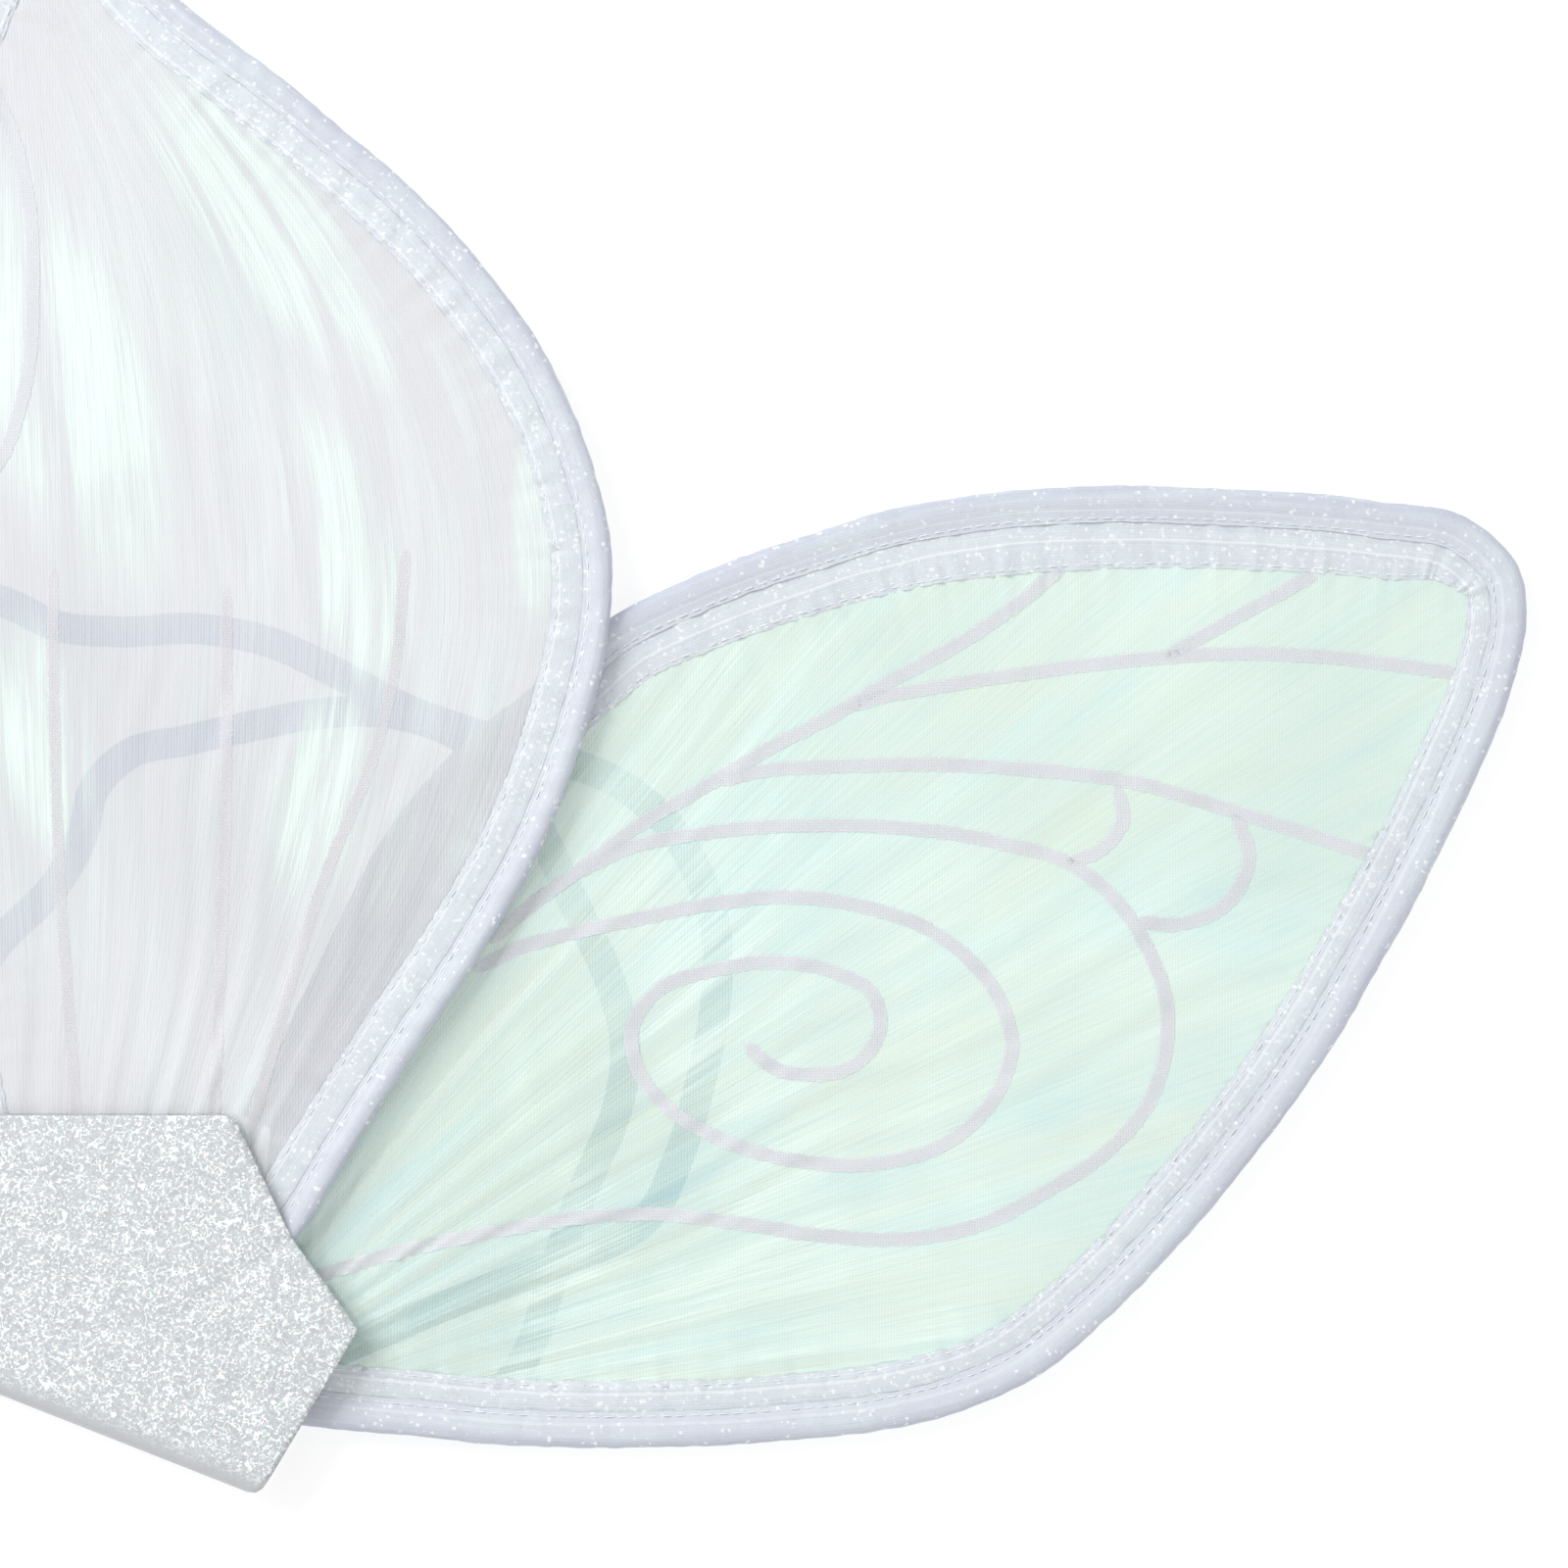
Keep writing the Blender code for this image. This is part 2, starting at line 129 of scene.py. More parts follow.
UPPER_BANDS = (
    ((48.1, 124.5), (48.3, 100), (49.4, 66), (52.8, 16)),
    ((81.5, 120.8), (81.5, 86.8), (80.2, 45.3), (79, 16)),
    ((116, 128.3), (113.2, 101.9), (110.4, 90.6), (100, 64.2), (86, 16)),
)

# Elastic shoulder loop, the CAD strap's route but with one pass lying on the other where they meet
STRAP_ROUTE = (
    (98.0, -28.5, 1.6), (107.0, -24.6, 1.7), (118.0, -19.8, 1.85), (134.0, -13.6, 1.95),
    (144.0, -10.0, 1.95), (153.0, -6.6, 1.9), (163.0, 0.0, 1.2), (168.0, 10.0, 0.6),
    (172.5, 25.0, 0.5), (175.5, 41.0, 0.5), (175.6, 54.0, 0.5), (172.0, 66.0, 0.5),
    (166.0, 75.5, 0.5), (157.2, 82.8, 0.8), (145.0, 88.0, 1.5), (130.0, 92.4, 1.7),
    (116.0, 97.4, 1.7), (102.0, 104.6, 1.1), (89.0, 110.5, 0.5), (75.5, 113.0, 0.5),
    (60.0, 112.4, 0.5), (48.0, 113.6, 0.5), (38.5, 118.0, 0.5), (29.5, 120.0, 0.5),
    (21.5, 115.5, 0.5), (17.5, 106.0, 0.5), (15.0, 88.0, 0.5), (13.2, 70.0, 0.5),
    (13.6, 55.0, 0.5), (18.0, 46.0, 0.5), (25.0, 43.0, 0.5), (32.0, 46.6, 0.5),
    (38.5, 54.0, 0.5), (47.5, 63.0, 0.5), (53.0, 72.6, 0.5), (55.4, 82.0, 0.5),
    (62.5, 89.0, 0.5), (73.0, 91.4, 0.5), (85.0, 94.0, 0.5), (99.0, 96.6, 0.5),
    (113.0, 96.6, 0.5), (126.0, 92.2, 0.5), (136.5, 82.8, 0.5), (143.0, 71.0, 0.5),
    (148.6, 59.0, 0.5), (155.0, 45.0, 0.5), (158.0, 33.0, 0.5), (156.4, 20.0, 0.5),
    (151.4, 8.0, 0.5), (147.0, -3.0, 0.5), (143.4, -14.0, 0.5), (140.4, -24.0, 0.5),
    (135.0, -33.0, 0.5), (126.0, -37.8, 0.5), (115.0, -38.6, 0.7), (104.0, -37.4, 1.4),
    (92.0, -35.4, 1.6),
)
STRAP_W = 6.0
STRAP_THICK = 0.96
STRAP_RIBS = 6

# Back patch, right half: corners, and the folded lower edge as a height at x = 0 and a slope
PATCH_INNER_X = 3.4
PATCH_TOP_Y = 19.4
FOLD_Y = -19.7
FOLD_SLOPE = -0.393
PATCH_RIGHT = ((107.0, -21.7), (94.3, -4.2), (83.0, 19.4))
PATCH_FOOT = (87.6, -54.1)
FOOT_RADIUS = 3.6
PATCH_TOP = 10.2
PATCH_CLOTH = 0.6
CREASE = ((74.0, -18.0), (95.0, -3.6))
CREASE_DEPTH = 0.75
CREASE_HALF = 0.9

# Soft ovals of painted sheen on the upper wing's cloth: centre, radii, lean left of +Y in degrees
PINK_SHEEN_SPOTS = (
    ((50, 160), (19, 52), 20), ((90, 190), (13, 42), 38), ((104, 128), (12, 34), 20),
    ((141, 134), (5, 22), 0), ((46, 92), (10, 26), 8), ((99, 80), (10, 26), -10),
)

# The view's middle and width, the camera's height above the table, and the lamps in metres and watts
VIEW_MIDDLE = (188.7, 83.0)
VIEW_WIDTH = 301.9
VIEW_HEIGHT = 1300.0
VIEW_LEVEL = 5.0
SENSOR = 36.0
FLOOR_HALF = 15.0
FLOOR_DROP = 0.0003
LAMP_TARGET = (0.1, 0.05, 0.0)
LAMPS = (("key", (-0.9, 0.95, 1.0), 19.0, 0.9), ("fill", (1.2, -0.6, 1.3), 3.0, 1.2))


# Curves


def smooth(points, closed=False, fine=24):
    """A dense smooth curve through the points, its tangents weighted by the spans on either side."""
    p = np.array(points, float)
    count = len(p)
    after = np.roll(p, -1, axis=0) - p
    before = np.roll(after, 1, axis=0)
    if not closed:
        before[0] = after[0]
        after[-1] = before[-1]
    long_after = np.linalg.norm(after, axis=1)[:, None]
    long_before = np.linalg.norm(before, axis=1)[:, None]
    tangent = before / long_before * long_after + after / long_after * long_before
    tangent /= long_after + long_before
    rows = []
    for i in range(count if closed else count - 1):
        j = (i + 1) % count
        for t in np.arange(fine) / fine:
            h = (2 * t**3 - 3 * t**2 + 1, t**3 - 2 * t**2 + t, -2 * t**3 + 3 * t**2, t**3 - t**2)
            pull = long_after[i] * (h[1] * tangent[i] + h[3] * tangent[j])
            rows.append(h[0] * p[i] + h[2] * p[j] + pull)
    if not closed:
        rows.append(p[-1])
    return np.array(rows)


def even(path, step):
    """The path with evenly spaced points, and their distances along it."""
    along = np.concatenate([[0], np.cumsum(np.linalg.norm(np.diff(path, axis=0), axis=1))])
    at = np.linspace(0, along[-1], max(3, round(along[-1] / step) + 1))
    return np.stack([np.interp(at, along, path[:, k]) for k in range(path.shape[1])], axis=1), at


def across_of(path):
    """Unit vectors in the plane, a quarter turn left of the path."""
    tangent = np.gradient(path[:, :2], axis=0)
    tangent /= np.linalg.norm(tangent, axis=1)[:, None]
    return np.stack([-tangent[:, 1], tangent[:, 0]], axis=1)


def wander(values, wavelength, seed):
    """A smooth random wave of about unit size over the values, a sum of seven sines."""
    draw = np.random.default_rng(seed)
    total = np.zeros(np.shape(values))
    for _ in range(7):
        stretch = draw.uniform(0.65, 1.7)
        total += np.sin(2 * math.pi * (np.asarray(values) / (wavelength * stretch) + draw.uniform()))
    return total / 2.2


def ramp_between(values, low, high):
    """0 below low and 1 above high, with a smooth step between them."""
    t = np.clip((np.asarray(values, float) - low) / (high - low), 0, 1)
    return t * t * (3 - 2 * t)


def inside(points, polygon):
    """True for each point that lies in the polygon."""
    found = np.zeros(len(points), bool)
    x, y = points[:, 0], points[:, 1]
    for (ax, ay), (bx, by) in zip(polygon, np.roll(polygon, -1, axis=0)):
        spans = (ay > y) != (by > y)
        with np.errstate(divide="ignore", invalid="ignore"):
            found ^= spans & (x < (bx - ax) * (y - ay) / (by - ay) + ax)
    return found


def nearest(points, line):
    """(distance, index) of the nearest of the line's points, for each point."""
    distance, index = np.empty(len(points)), np.empty(len(points), int)
    for low in range(0, len(points), 2000):
        gap = np.linalg.norm(points[low : low + 2000, None] - line[None], axis=2)
        index[low : low + 2000] = gap.argmin(axis=1)
        distance[low : low + 2000] = gap.min(axis=1)
    return distance, index


# Meshes. Points are right-hand ones in millimetres, and the attribute "place" keeps them for the materials.


def add_mesh(name, points, faces, side, flow=None, **values):
    """An object on one side. "flow" is the cloth's own coordinates, and each value is a number attribute."""
    points = np.asarray(points, float)
    mesh = bpy.data.meshes.new(name)
    placed = points * (side, 1, 1) * MM
    turned = [face[::-1] for face in faces] if side < 0 else faces
    mesh.from_pydata(placed.tolist(), [], [list(map(int, face)) for face in turned])
    mesh.validate()
    mesh.shade_smooth()
    vectors = {"place": points, "flow": points if flow is None else flow}
    for key, rows in vectors.items():
        attribute = mesh.attributes.new(key, "FLOAT_VECTOR", "POINT")
        attribute.data.foreach_set("vector", np.ravel(rows).astype(np.float32))
    for key, row in values.items():
        attribute = mesh.attributes.new(key, "FLOAT", "POINT")
        attribute.data.foreach_set("value", np.ravel(row).astype(np.float32))
    obj = bpy.data.objects.new(name, mesh)
    bpy.context.scene.collection.objects.link(obj)
    return obj


def grid_faces(rings, ring_size, closed=True, first=0):
    """Quads between neighbouring rings, closed or open across, with points numbered from first."""
    faces = []
    for i in range(rings - 1):
        for j in range(ring_size if closed else ring_size - 1):
            a, b = first + i * ring_size, first + (i + 1) * ring_size
            k = (j + 1) % ring_size
            faces.append((a + j, b + j, b + k, a + k))
    return faces


def tube(name, rings, side, flow, **values):
    """A skin over rings of points, an array of ring x point x 3, with a flat cap at each end."""
    count, size = rings.shape[:2]
    faces = grid_faces(count, size)
    faces.append(tuple(range(size)))
    faces.append(tuple(range(count * size - 1, (count - 1) * size - 1, -1)))
    flat = {key: np.broadcast_to(row, rings.shape[:2]).reshape(-1) for key, row in values.items()}
    return add_mesh(name, rings.reshape(-1, 3), faces, side, flow.reshape(-1, 3), **flat)


def strip(name, rings, side, flow, **values):
    """A folded strip of cloth over rings of points, open along its two edges."""
    faces = grid_faces(*rings.shape[:2], closed=False)
    flat = {key: row.reshape(-1) for key, row in values.items()}
    return add_mesh(name, rings.reshape(-1, 3), faces, side, flow.reshape(-1, 3), **flat)


def filled(polygon, step, extra=()):
    """Points and triangles of a flat sheet within the polygon, finely divided."""
    low, high = polygon.min(axis=0), polygon.max(axis=0)
    xs = np.arange(low[0], high[0], step)
    ys = np.arange(low[1], high[1], step * 0.866)
    grid = np.array([(x + (step / 2 if row % 2 else 0), y) for row, y in enumerate(ys) for x in xs])
    if len(extra):
        grid = np.concatenate([grid[nearest(grid, extra)[0] > step * 0.6], extra])
    grid = grid[inside(grid, polygon)]
    edge = even(np.concatenate([polygon, polygon[:1]]), step)[0][:-1]
    grid = grid[nearest(grid, edge)[0] > step * 0.45]
    count = len(edge)
    both = np.concatenate([edge, grid])
    out = delaunay_2d_cdt([tuple(p) for p in both], [], [list(range(count))], 1, 1e-7)
    return np.array([tuple(v) for v in out[0]]), [tuple(face) for face in out[2]]


def finish_piece(obj, material, body, replaced=()):
    """Its material, the body it rides on, and the CAD nodes that it stands for."""
    obj.data.materials.append(material)
    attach(obj, body)
    if replaced:
        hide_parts(*replaced)
    return obj


def dress(node, material):
    """A better material on a CAD node that is kept as it is."""
    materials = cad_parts[node].data.materials
    materials.clear()
    materials.append(material)


class Wing:
    """A wing's edge outside the patch, and ways inward from it that stop at its middle where it is narrow."""

    def __init__(self, name):
        facts = WINGS[name]
        self.name = name
        self.casing, self.z = facts["casing"], facts["z"]
        self.origin, self.normal = np.array(facts["line"])
        self.focus = np.array(facts["focus"])
        self.pucker = facts["pucker"]
        loop = smooth(facts["outline"], closed=True)
        beyond = (loop - self.origin) @ self.normal > 0
        first = next(i for i in range(len(loop)) if beyond[i] and not beyond[i - 1])
        self.loop = np.roll(loop, -first, axis=0)
        last = int(np.argmin(np.roll(beyond, -first)))
        self.path, self.along = even(self.loop[:last], RING_STEP)
        self.inward = across_of(self.path)
        shares, widths = np.array(facts["hem"]).T
        self.hem = np.interp(self.along / self.along[-1], shares, widths)
        self.reach = self.measure_reach(self.casing + self.hem.max() + 1)

    def measure_reach(self, most):
        """How far inward each point of the path can go before it passes the middle between two edges."""
        reach = np.full(len(self.path), most)
        for distance in np.arange(most, 0.5, -0.5):
            moved = self.path + distance * self.inward
            folded = nearest(moved, self.path)[0] < distance * 0.985 - 0.02
            reach = np.where(folded, np.minimum(reach, distance - 0.5), reach)
        return np.convolve(np.pad(reach, 3, mode="edge"), np.ones(7) / 7, mode="valid")

    def at(self, distance):
        """The path moved inward."""
        return self.path + np.minimum(distance, self.reach)[:, None] * self.inward

    def rings(self, distance, z):
        """Cross-sections along the path, at the inward distances and heights given."""
        flat = self.path[:, None] + distance[:, :, None] * self.inward[:, None]
        return np.concatenate([flat, np.broadcast_to(z, distance.shape)[:, :, None]], axis=2)

    def strip_flow(self, distance):
        """The ribbon's own coordinates: along the path, and inward from the edge."""
        return np.stack(np.broadcast_arrays(self.along[:, None], distance, 0.0), axis=2)

    def sheet_z(self, points):
        """Height of the organza: slow billows, gathers out of the patch, and puckers at the hem."""
        x, y = points[:, 0], points[:, 1]
        away, index = nearest(points, self.path[::2])
        hem_end = self.casing + self.hem[::2][index]
        edge = np.maximum(away - hem_end, 0)
        run = self.along[::2][index]
        flow = self.flow(points)
        billow = 0.5 * wander(x + 0.3 * y, 90, 3) * wander(y - 0.2 * x, 70, 4)
        out = np.maximum((points - self.origin) @ self.normal, 0)
        gathers = wander(flow[:, 0] + 1.5 * wander(out, 60, 5), 7.5, 6) * (0.28 * np.exp(-out / 45) + 0.08)
        puckers = 2 * self.pucker * np.exp(-edge / 5.0) * wander(run, 5.5, 7)
        calm = ramp_between(away, self.casing * 0.6, hem_end + 6)
        puckers *= ramp_between(away, self.casing, hem_end)
        return self.z - 0.2 + (billow * 0.9 + gathers) * calm + puckers

    def flow(self, points):
        """Across and along the folds that run out of the patch, and distance from the casing."""
        away = nearest(points, self.path[::2])[0] - self.casing
        if self.name == "lower":
            out = points - self.focus
            across = np.arctan2(out[:, 1], out[:, 0]) * 150
            return np.stack([across, np.linalg.norm(out, axis=1), away], axis=1)
        tip = int(np.argmax(self.path[:, 1]))
        right, left = self.path[: tip + 1], self.path[tip:][::-1]
        x_right = np.interp(points[:, 1], right[:, 1], right[:, 0])
        x_left = np.interp(points[:, 1], left[:, 1], left[:, 0])
        share = (points[:, 0] - x_left) / np.maximum(x_right - x_left, 8)
        return np.stack([share * 120, points[:, 1], away], axis=1)


# Materials


class Nodes:
    """Short names for building one material's nodes."""

    def __init__(self, name):
        self.material = bpy.data.materials.new(name)
        self.material.use_nodes = True
        self.tree = self.material.node_tree
        self.shader = self.tree.nodes["Principled BSDF"]

    def link(self, value, socket):
        if isinstance(value, bpy.types.NodeSocket):
            self.tree.links.new(value, socket)
        else:
            socket.default_value = value

    def node(self, kind, **settings):
        made = self.tree.nodes.new(kind)
        for key, value in settings.items():
            setattr(made, key, value)
        return made

    def attribute(self, name, vector=True):
        node = self.node("ShaderNodeAttribute", attribute_name=name)
        return node.outputs["Vector" if vector else "Fac"]

    def own(self):
        """Object coordinates in millimetres, for a node that comes from CAD."""
        scale = self.node("ShaderNodeVectorMath", operation="SCALE")
        self.tree.links.new(self.node("ShaderNodeTexCoord").outputs["Object"], scale.inputs[0])
        scale.inputs["Scale"].default_value = 1000
        return scale.outputs[0]

    def stretched(self, vector, by):
        mapping = self.node("ShaderNodeMapping")
        self.link(vector, mapping.inputs["Vector"])
        mapping.inputs["Scale"].default_value = by
        return mapping.outputs[0]

    def noise(self, vector, scale, detail=2.0, rough=0.5, warp=0.0):
        node = self.node("ShaderNodeTexNoise")
        self.link(vector, node.inputs["Vector"])
        settings = {"Scale": scale, "Detail": detail, "Roughness": rough, "Distortion": warp}
        for key, value in settings.items():
            node.inputs[key].default_value = value
        return node.outputs["Fac"]

    def cells(self, vector, scale):
        """Small cells, each with three random numbers of its own."""
        node = self.node("ShaderNodeTexVoronoi")
        self.link(vector, node.inputs["Vector"])
        node.inputs["Scale"].default_value = scale
        return node.outputs["Color"]

    def math(self, operation, a, b=0.0, c=0.0):
        node = self.node("ShaderNodeMath", operation=operation)
        for value, socket in zip((a, b, c), node.inputs):
            self.link(value, socket)
        return node.outputs[0]

    def spot(self, vector, centre, radii, lean):
        """1 in the middle of a soft oval and 0 outside it; its second radius leans left of +Y by degrees."""
        mapping = self.node("ShaderNodeMapping", vector_type="TEXTURE")
        self.link(vector, mapping.inputs["Vector"])
        mapping.inputs["Location"].default_value = (*centre, 0)
        mapping.inputs["Rotation"].default_value = (0, 0, math.radians(lean))
        mapping.inputs["Scale"].default_value = (*radii, 1000)
        length = self.node("ShaderNodeVectorMath", operation="LENGTH")
        self.tree.links.new(mapping.outputs[0], length.inputs[0])
        return self.between(length.outputs["Value"], 1.15, 0.5)

    def part(self, vector, axis):
        node = self.node("ShaderNodeSeparateXYZ")
        self.link(vector, node.inputs[0])
        return node.outputs[axis]

    def between(self, value, low, high, to_low=0.0, to_high=1.0):
        """A smooth step from to_low at low to to_high at high."""
        node = self.node("ShaderNodeMapRange", interpolation_type="SMOOTHSTEP")
        for item, socket in zip((value, low, high, to_low, to_high), node.inputs):
            self.link(item, socket)
        return node.outputs[0]

    def colours(self, value, stops):
        node = self.node("ShaderNodeValToRGB")
        self.link(value, node.inputs[0])
        ramp = node.color_ramp
        while len(ramp.elements) < len(stops):
            ramp.elements.new(0.5)
        for element, (place, colour) in zip(ramp.elements, stops):
            element.position = place
            element.color = (*colour, 1.0)
        return node.outputs[0]

    def mix(self, share, a, b, blend="MIX"):
        node = self.node("ShaderNodeMix", data_type="RGBA", blend_type=blend)
        sockets = [s for s in node.inputs if s.type == "RGBA"]
        self.link(share, node.inputs["Factor"])
        for value, socket in zip((a, b), sockets):
            self.link(value if isinstance(value, bpy.types.NodeSocket) else (*value, 1.0), socket)
        return next(s for s in node.outputs if s.type == "RGBA")

    def bump(self, height, distance, strength=1.0):
        node = self.node("ShaderNodeBump")
        self.link(height, node.inputs["Height"])
        node.inputs["Distance"].default_value = distance * MM
        node.inputs["Strength"].default_value = strength
        self.tree.links.new(node.outputs[0], self.shader.inputs["Normal"])

    def set(self, **sockets):
        for key, value in sockets.items():
            name = key.replace("_", " ")
            if name == "Base Color" and not isinstance(value, bpy.types.NodeSocket):
                value = (*value, 1.0)
            if name.endswith("Tint"):
                value = (*value, 1.0)
            self.link(value, self.shader.inputs[name])
        return self.material


def threads(n, place, pitch):
    """The two sets of threads of a plain weave of the pitch given, each from 0 to 1."""
    turn = 2 * math.pi / pitch
    across = n.math("SINE", n.math("MULTIPLY", n.part(place, 0), turn))
    along = n.math("SINE", n.math("MULTIPLY", n.part(place, 1), turn))
    return n.math("MULTIPLY_ADD", across, 0.5, 0.5), n.math("MULTIPLY_ADD", along, 0.5, 0.5)


def organza(name, base, sheen_colour, sheen_hues, opacity, sheen_share, fade=None, spots=()):
    """Film-bonded organza: fine threads, painted iridescent tints, and streaks of painted sheen along its
    folds.

    The streaks even out between the two distances of fade, and gather in the spots where they are given.
    """
    n = Nodes(name)
    place, flow = n.attribute("place"), n.attribute("flow")
    warp, weft = threads(n, place, 0.57)
    streak = n.noise(n.stretched(flow, (0.22, 0.010, 0.0)), 1.0, 4, 0.62)
    fine = n.noise(n.stretched(flow, (1.3, 0.035, 0.0)), 1.0, 3, 0.65)
    clouds = n.noise(n.stretched(place, (0.019, 0.013, 0.0)), 1.0, 3, 0.55)
    hue = n.noise(n.stretched(flow, (0.10, 0.014, 0.0)), 1.0, 4, 0.7, 0.6)
    # painted iridescent sheen: hue tints that stand in for the film's iridescent reflections
    tint = n.mix(1.0, base, n.colours(hue, sheen_hues), "MULTIPLY")
    shade = n.mix(1.0, tint, (0.93, 0.945, 0.935), "MULTIPLY")
    tint = n.mix(n.between(n.noise(place, 0.011, 2, 0.5), 0.38, 0.62), tint, shade)
    # painted sheen: pale streaks and patches where the folds catch the light
    sheen_mask = n.between(clouds, 0.43, 0.58)
    if spots:
        sheen_mask = n.math("MULTIPLY", sheen_mask, 0.3)
        uneven = n.between(clouds, 0.30, 0.52, 0.45, 1.0)
        for spot in spots:
            sheen_mask = n.math("MAXIMUM", sheen_mask, n.math("MULTIPLY", uneven, n.spot(place, *spot)))
    lit = n.math("MULTIPLY", sheen_mask, n.between(streak, 0.36, 0.58))
    lit = n.math("MULTIPLY", lit, n.between(fine, 0.32, 0.62, 0.45, 1.0))
    # far from the patch the painted sheen turns into soft even patches
    if fade:
        even_out = n.between(n.part(flow, 1), *fade, 0.0, 0.72)
        soft = n.between(n.noise(place, 0.016, 2, 0.5), 0.30, 0.72, 0.15, 0.78)
        lit = n.math("MULTIPLY_ADD", even_out, n.math("SUBTRACT", soft, lit), lit)
    # the painted sheen is mixed into the cloth's colour here
    tint = n.mix(n.math("MULTIPLY", lit, sheen_share), tint, sheen_colour)
    weave = n.math("ADD", n.math("MULTIPLY", warp, 0.13), n.math("MULTIPLY", weft, 0.07))
    tint = n.mix(weave, tint, (0.50, 0.60, 0.60))
    body = n.math("MULTIPLY_ADD", warp, -0.10, n.math("MULTIPLY_ADD", lit, 0.16, opacity))
    n.bump(n.math("MULTIPLY_ADD", warp, 0.12, n.math("MULTIPLY", fine, 1.2)), 0.30, 0.6)
    rough = n.math("MULTIPLY_ADD", clouds, 0.25, 0.24)
    return n.set(Base_Color=tint, Alpha=body, Roughness=rough, Sheen_Weight=0.2, Sheen_Roughness=0.4,
                 Sheen_Tint=(0.85, 1.0, 0.95), Coat_Weight=0.2, Coat_Roughness=0.22,
                 Thin_Film_Thickness=380.0, Thin_Film_IOR=1.6)


def ribbon(name, base, edge, glitter, opacity, amount, seams):
    """Sheer ribbon with glitter in it: painted shade at its rim, painted glints for its sparkles, and a thin
    painted line at each seam, pale ones painted highlight and dark ones painted shade.
    """
    n = Nodes(name)
    place, flow = n.attribute("place"), n.attribute("flow")
    warp, weft = threads(n, flow, 0.57)
    along = n.noise(n.stretched(flow, (0.03, 0.7, 0.0)), 1.0, 3, 0.6)
    blotch = n.noise(place, 0.05, 2, 0.5)
    # the rim is painted darker with the edge colour, as painted shade
    tint = n.mix(n.attribute("rim", False), base, edge)
    tint = n.mix(n.math("MULTIPLY", n.between(along, 0.42, 0.68), 0.6), tint, glitter)
    tint = n.mix(n.math("MULTIPLY", n.between(blotch, 0.45, 0.7), 0.25), tint, (0.71, 0.80, 0.81))
    grain = n.cells(place, 1.7)
    # sparkles: glitter flakes, partly real, with their glints painted near white as painted highlight
    spark = n.between(n.part(grain, 0), 1.0 - amount, 1.0)
    tint = n.mix(n.math("MULTIPLY", spark, 0.8), tint, (0.98, 1.0, 1.0))
    dull = n.between(n.part(grain, 1), 0.78, 1.0)
    tint = n.mix(n.math("MULTIPLY", dull, 0.14), tint, (0.40, 0.46, 0.54))
    drift = n.math("MULTIPLY_ADD", n.noise(n.stretched(flow, (0.06, 0.0, 0.0)), 1.0, 2, 0.5), 0.8, -0.4)
    across = n.math("ADD", n.part(flow, 1), drift)
    # seam lines: pale ones are painted highlight, dark ones painted shade
    for middle, strength, colour in seams:
        gap = n.math("ABSOLUTE", n.math("SUBTRACT", across, middle))
        tint = n.mix(n.between(gap, 0.12, 0.34, strength, 0.0), tint, colour)
    weave = n.math("MULTIPLY", n.math("ADD", warp, weft), 0.05)
    tint = n.mix(weave, tint, (0.45, 0.48, 0.55))
    relief = n.math("ADD", n.math("MULTIPLY", n.part(grain, 2), 0.4), n.math("MULTIPLY", weft, 0.3))
    n.bump(relief, 0.10, 0.6)
    return n.set(Base_Color=tint, Alpha=opacity, Roughness=n.math("MULTIPLY_ADD", spark, -0.25, 0.5),
                 Sheen_Weight=0.2, Sheen_Roughness=0.4, Sheen_Tint=(0.88, 0.92, 1.0))


def glitter_cloth():
    """Cloth covered in fine curls of glitter, its bright curls and specks painted glints, and painted plain
    and darker along the fold over the lower edge as painted shade.
    """
    n = Nodes("glitter_cloth")
    place = n.attribute("place")
    # 1 away from the fold; along the fold the glitter is left out and the cloth painted plainer and darker as
    # painted shade
    outside_fold_shade = n.attribute("glitter", False)
    grain, dust = n.cells(place, 1.3), n.cells(place, 2.6)
    curl = n.math("ABSOLUTE", n.math("SUBTRACT", n.noise(place, 0.85, 0.5, 0.5, 0.4), 0.5))
    # bright curls and specks of glitter: real glitter with its glints painted in as painted highlight
    curls = n.math("MULTIPLY", n.between(curl, 0.085, 0.02), n.between(n.part(grain, 0), 0.2, 0.5))
    specks = n.between(n.part(dust, 0), 0.82, 0.95)
    bright = n.math("MULTIPLY", n.math("MAXIMUM", curls, specks), outside_fold_shade)
    cloth = n.mix(n.noise(place, 0.35, 3, 0.6), (0.53, 0.545, 0.575), (0.59, 0.605, 0.635))
    dusted = n.mix(n.part(dust, 1), (0.50, 0.525, 0.56), (0.63, 0.67, 0.685))
    tint = n.mix(outside_fold_shade, cloth, dusted)
    tint = n.mix(bright, tint, n.colours(n.part(grain, 1), GLITTER_GLINT_HUES))
    relief = n.math("MULTIPLY", n.math("ADD", n.math("MULTIPLY", bright, 0.8), n.part(dust, 2)), outside_fold_shade)
    n.bump(relief, 0.20, 0.6)
    rough = n.math("MULTIPLY_ADD", bright, -0.3, 0.6)
    return n.set(Base_Color=tint, Roughness=rough, Coat_Weight=0.15, Coat_Roughness=0.25)


def vein_print(name, colour, opacity):
    """Pale print that lies in the weave."""
    n = Nodes(name)
    place = n.attribute("place")
    warp, weft = threads(n, place, 0.52)
    cloudy = n.noise(place, 0.12, 3, 0.6)
    tint = n.mix(n.between(cloudy, 0.35, 0.7), colour, tuple(0.97 * c for c in colour))
    tint = n.mix(n.math("MULTIPLY", n.math("ADD", warp, weft), 0.06), tint, (0.5, 0.5, 0.56))
    n.bump(n.math("ADD", warp, weft), 0.06, 0.5)
    return n.set(Base_Color=tint, Alpha=n.math("MULTIPLY_ADD", warp, 0.1, opacity), Roughness=0.45,
                 Sheen_Weight=0.2, Sheen_Roughness=0.4, Coat_Weight=0.2, Coat_Roughness=0.22)


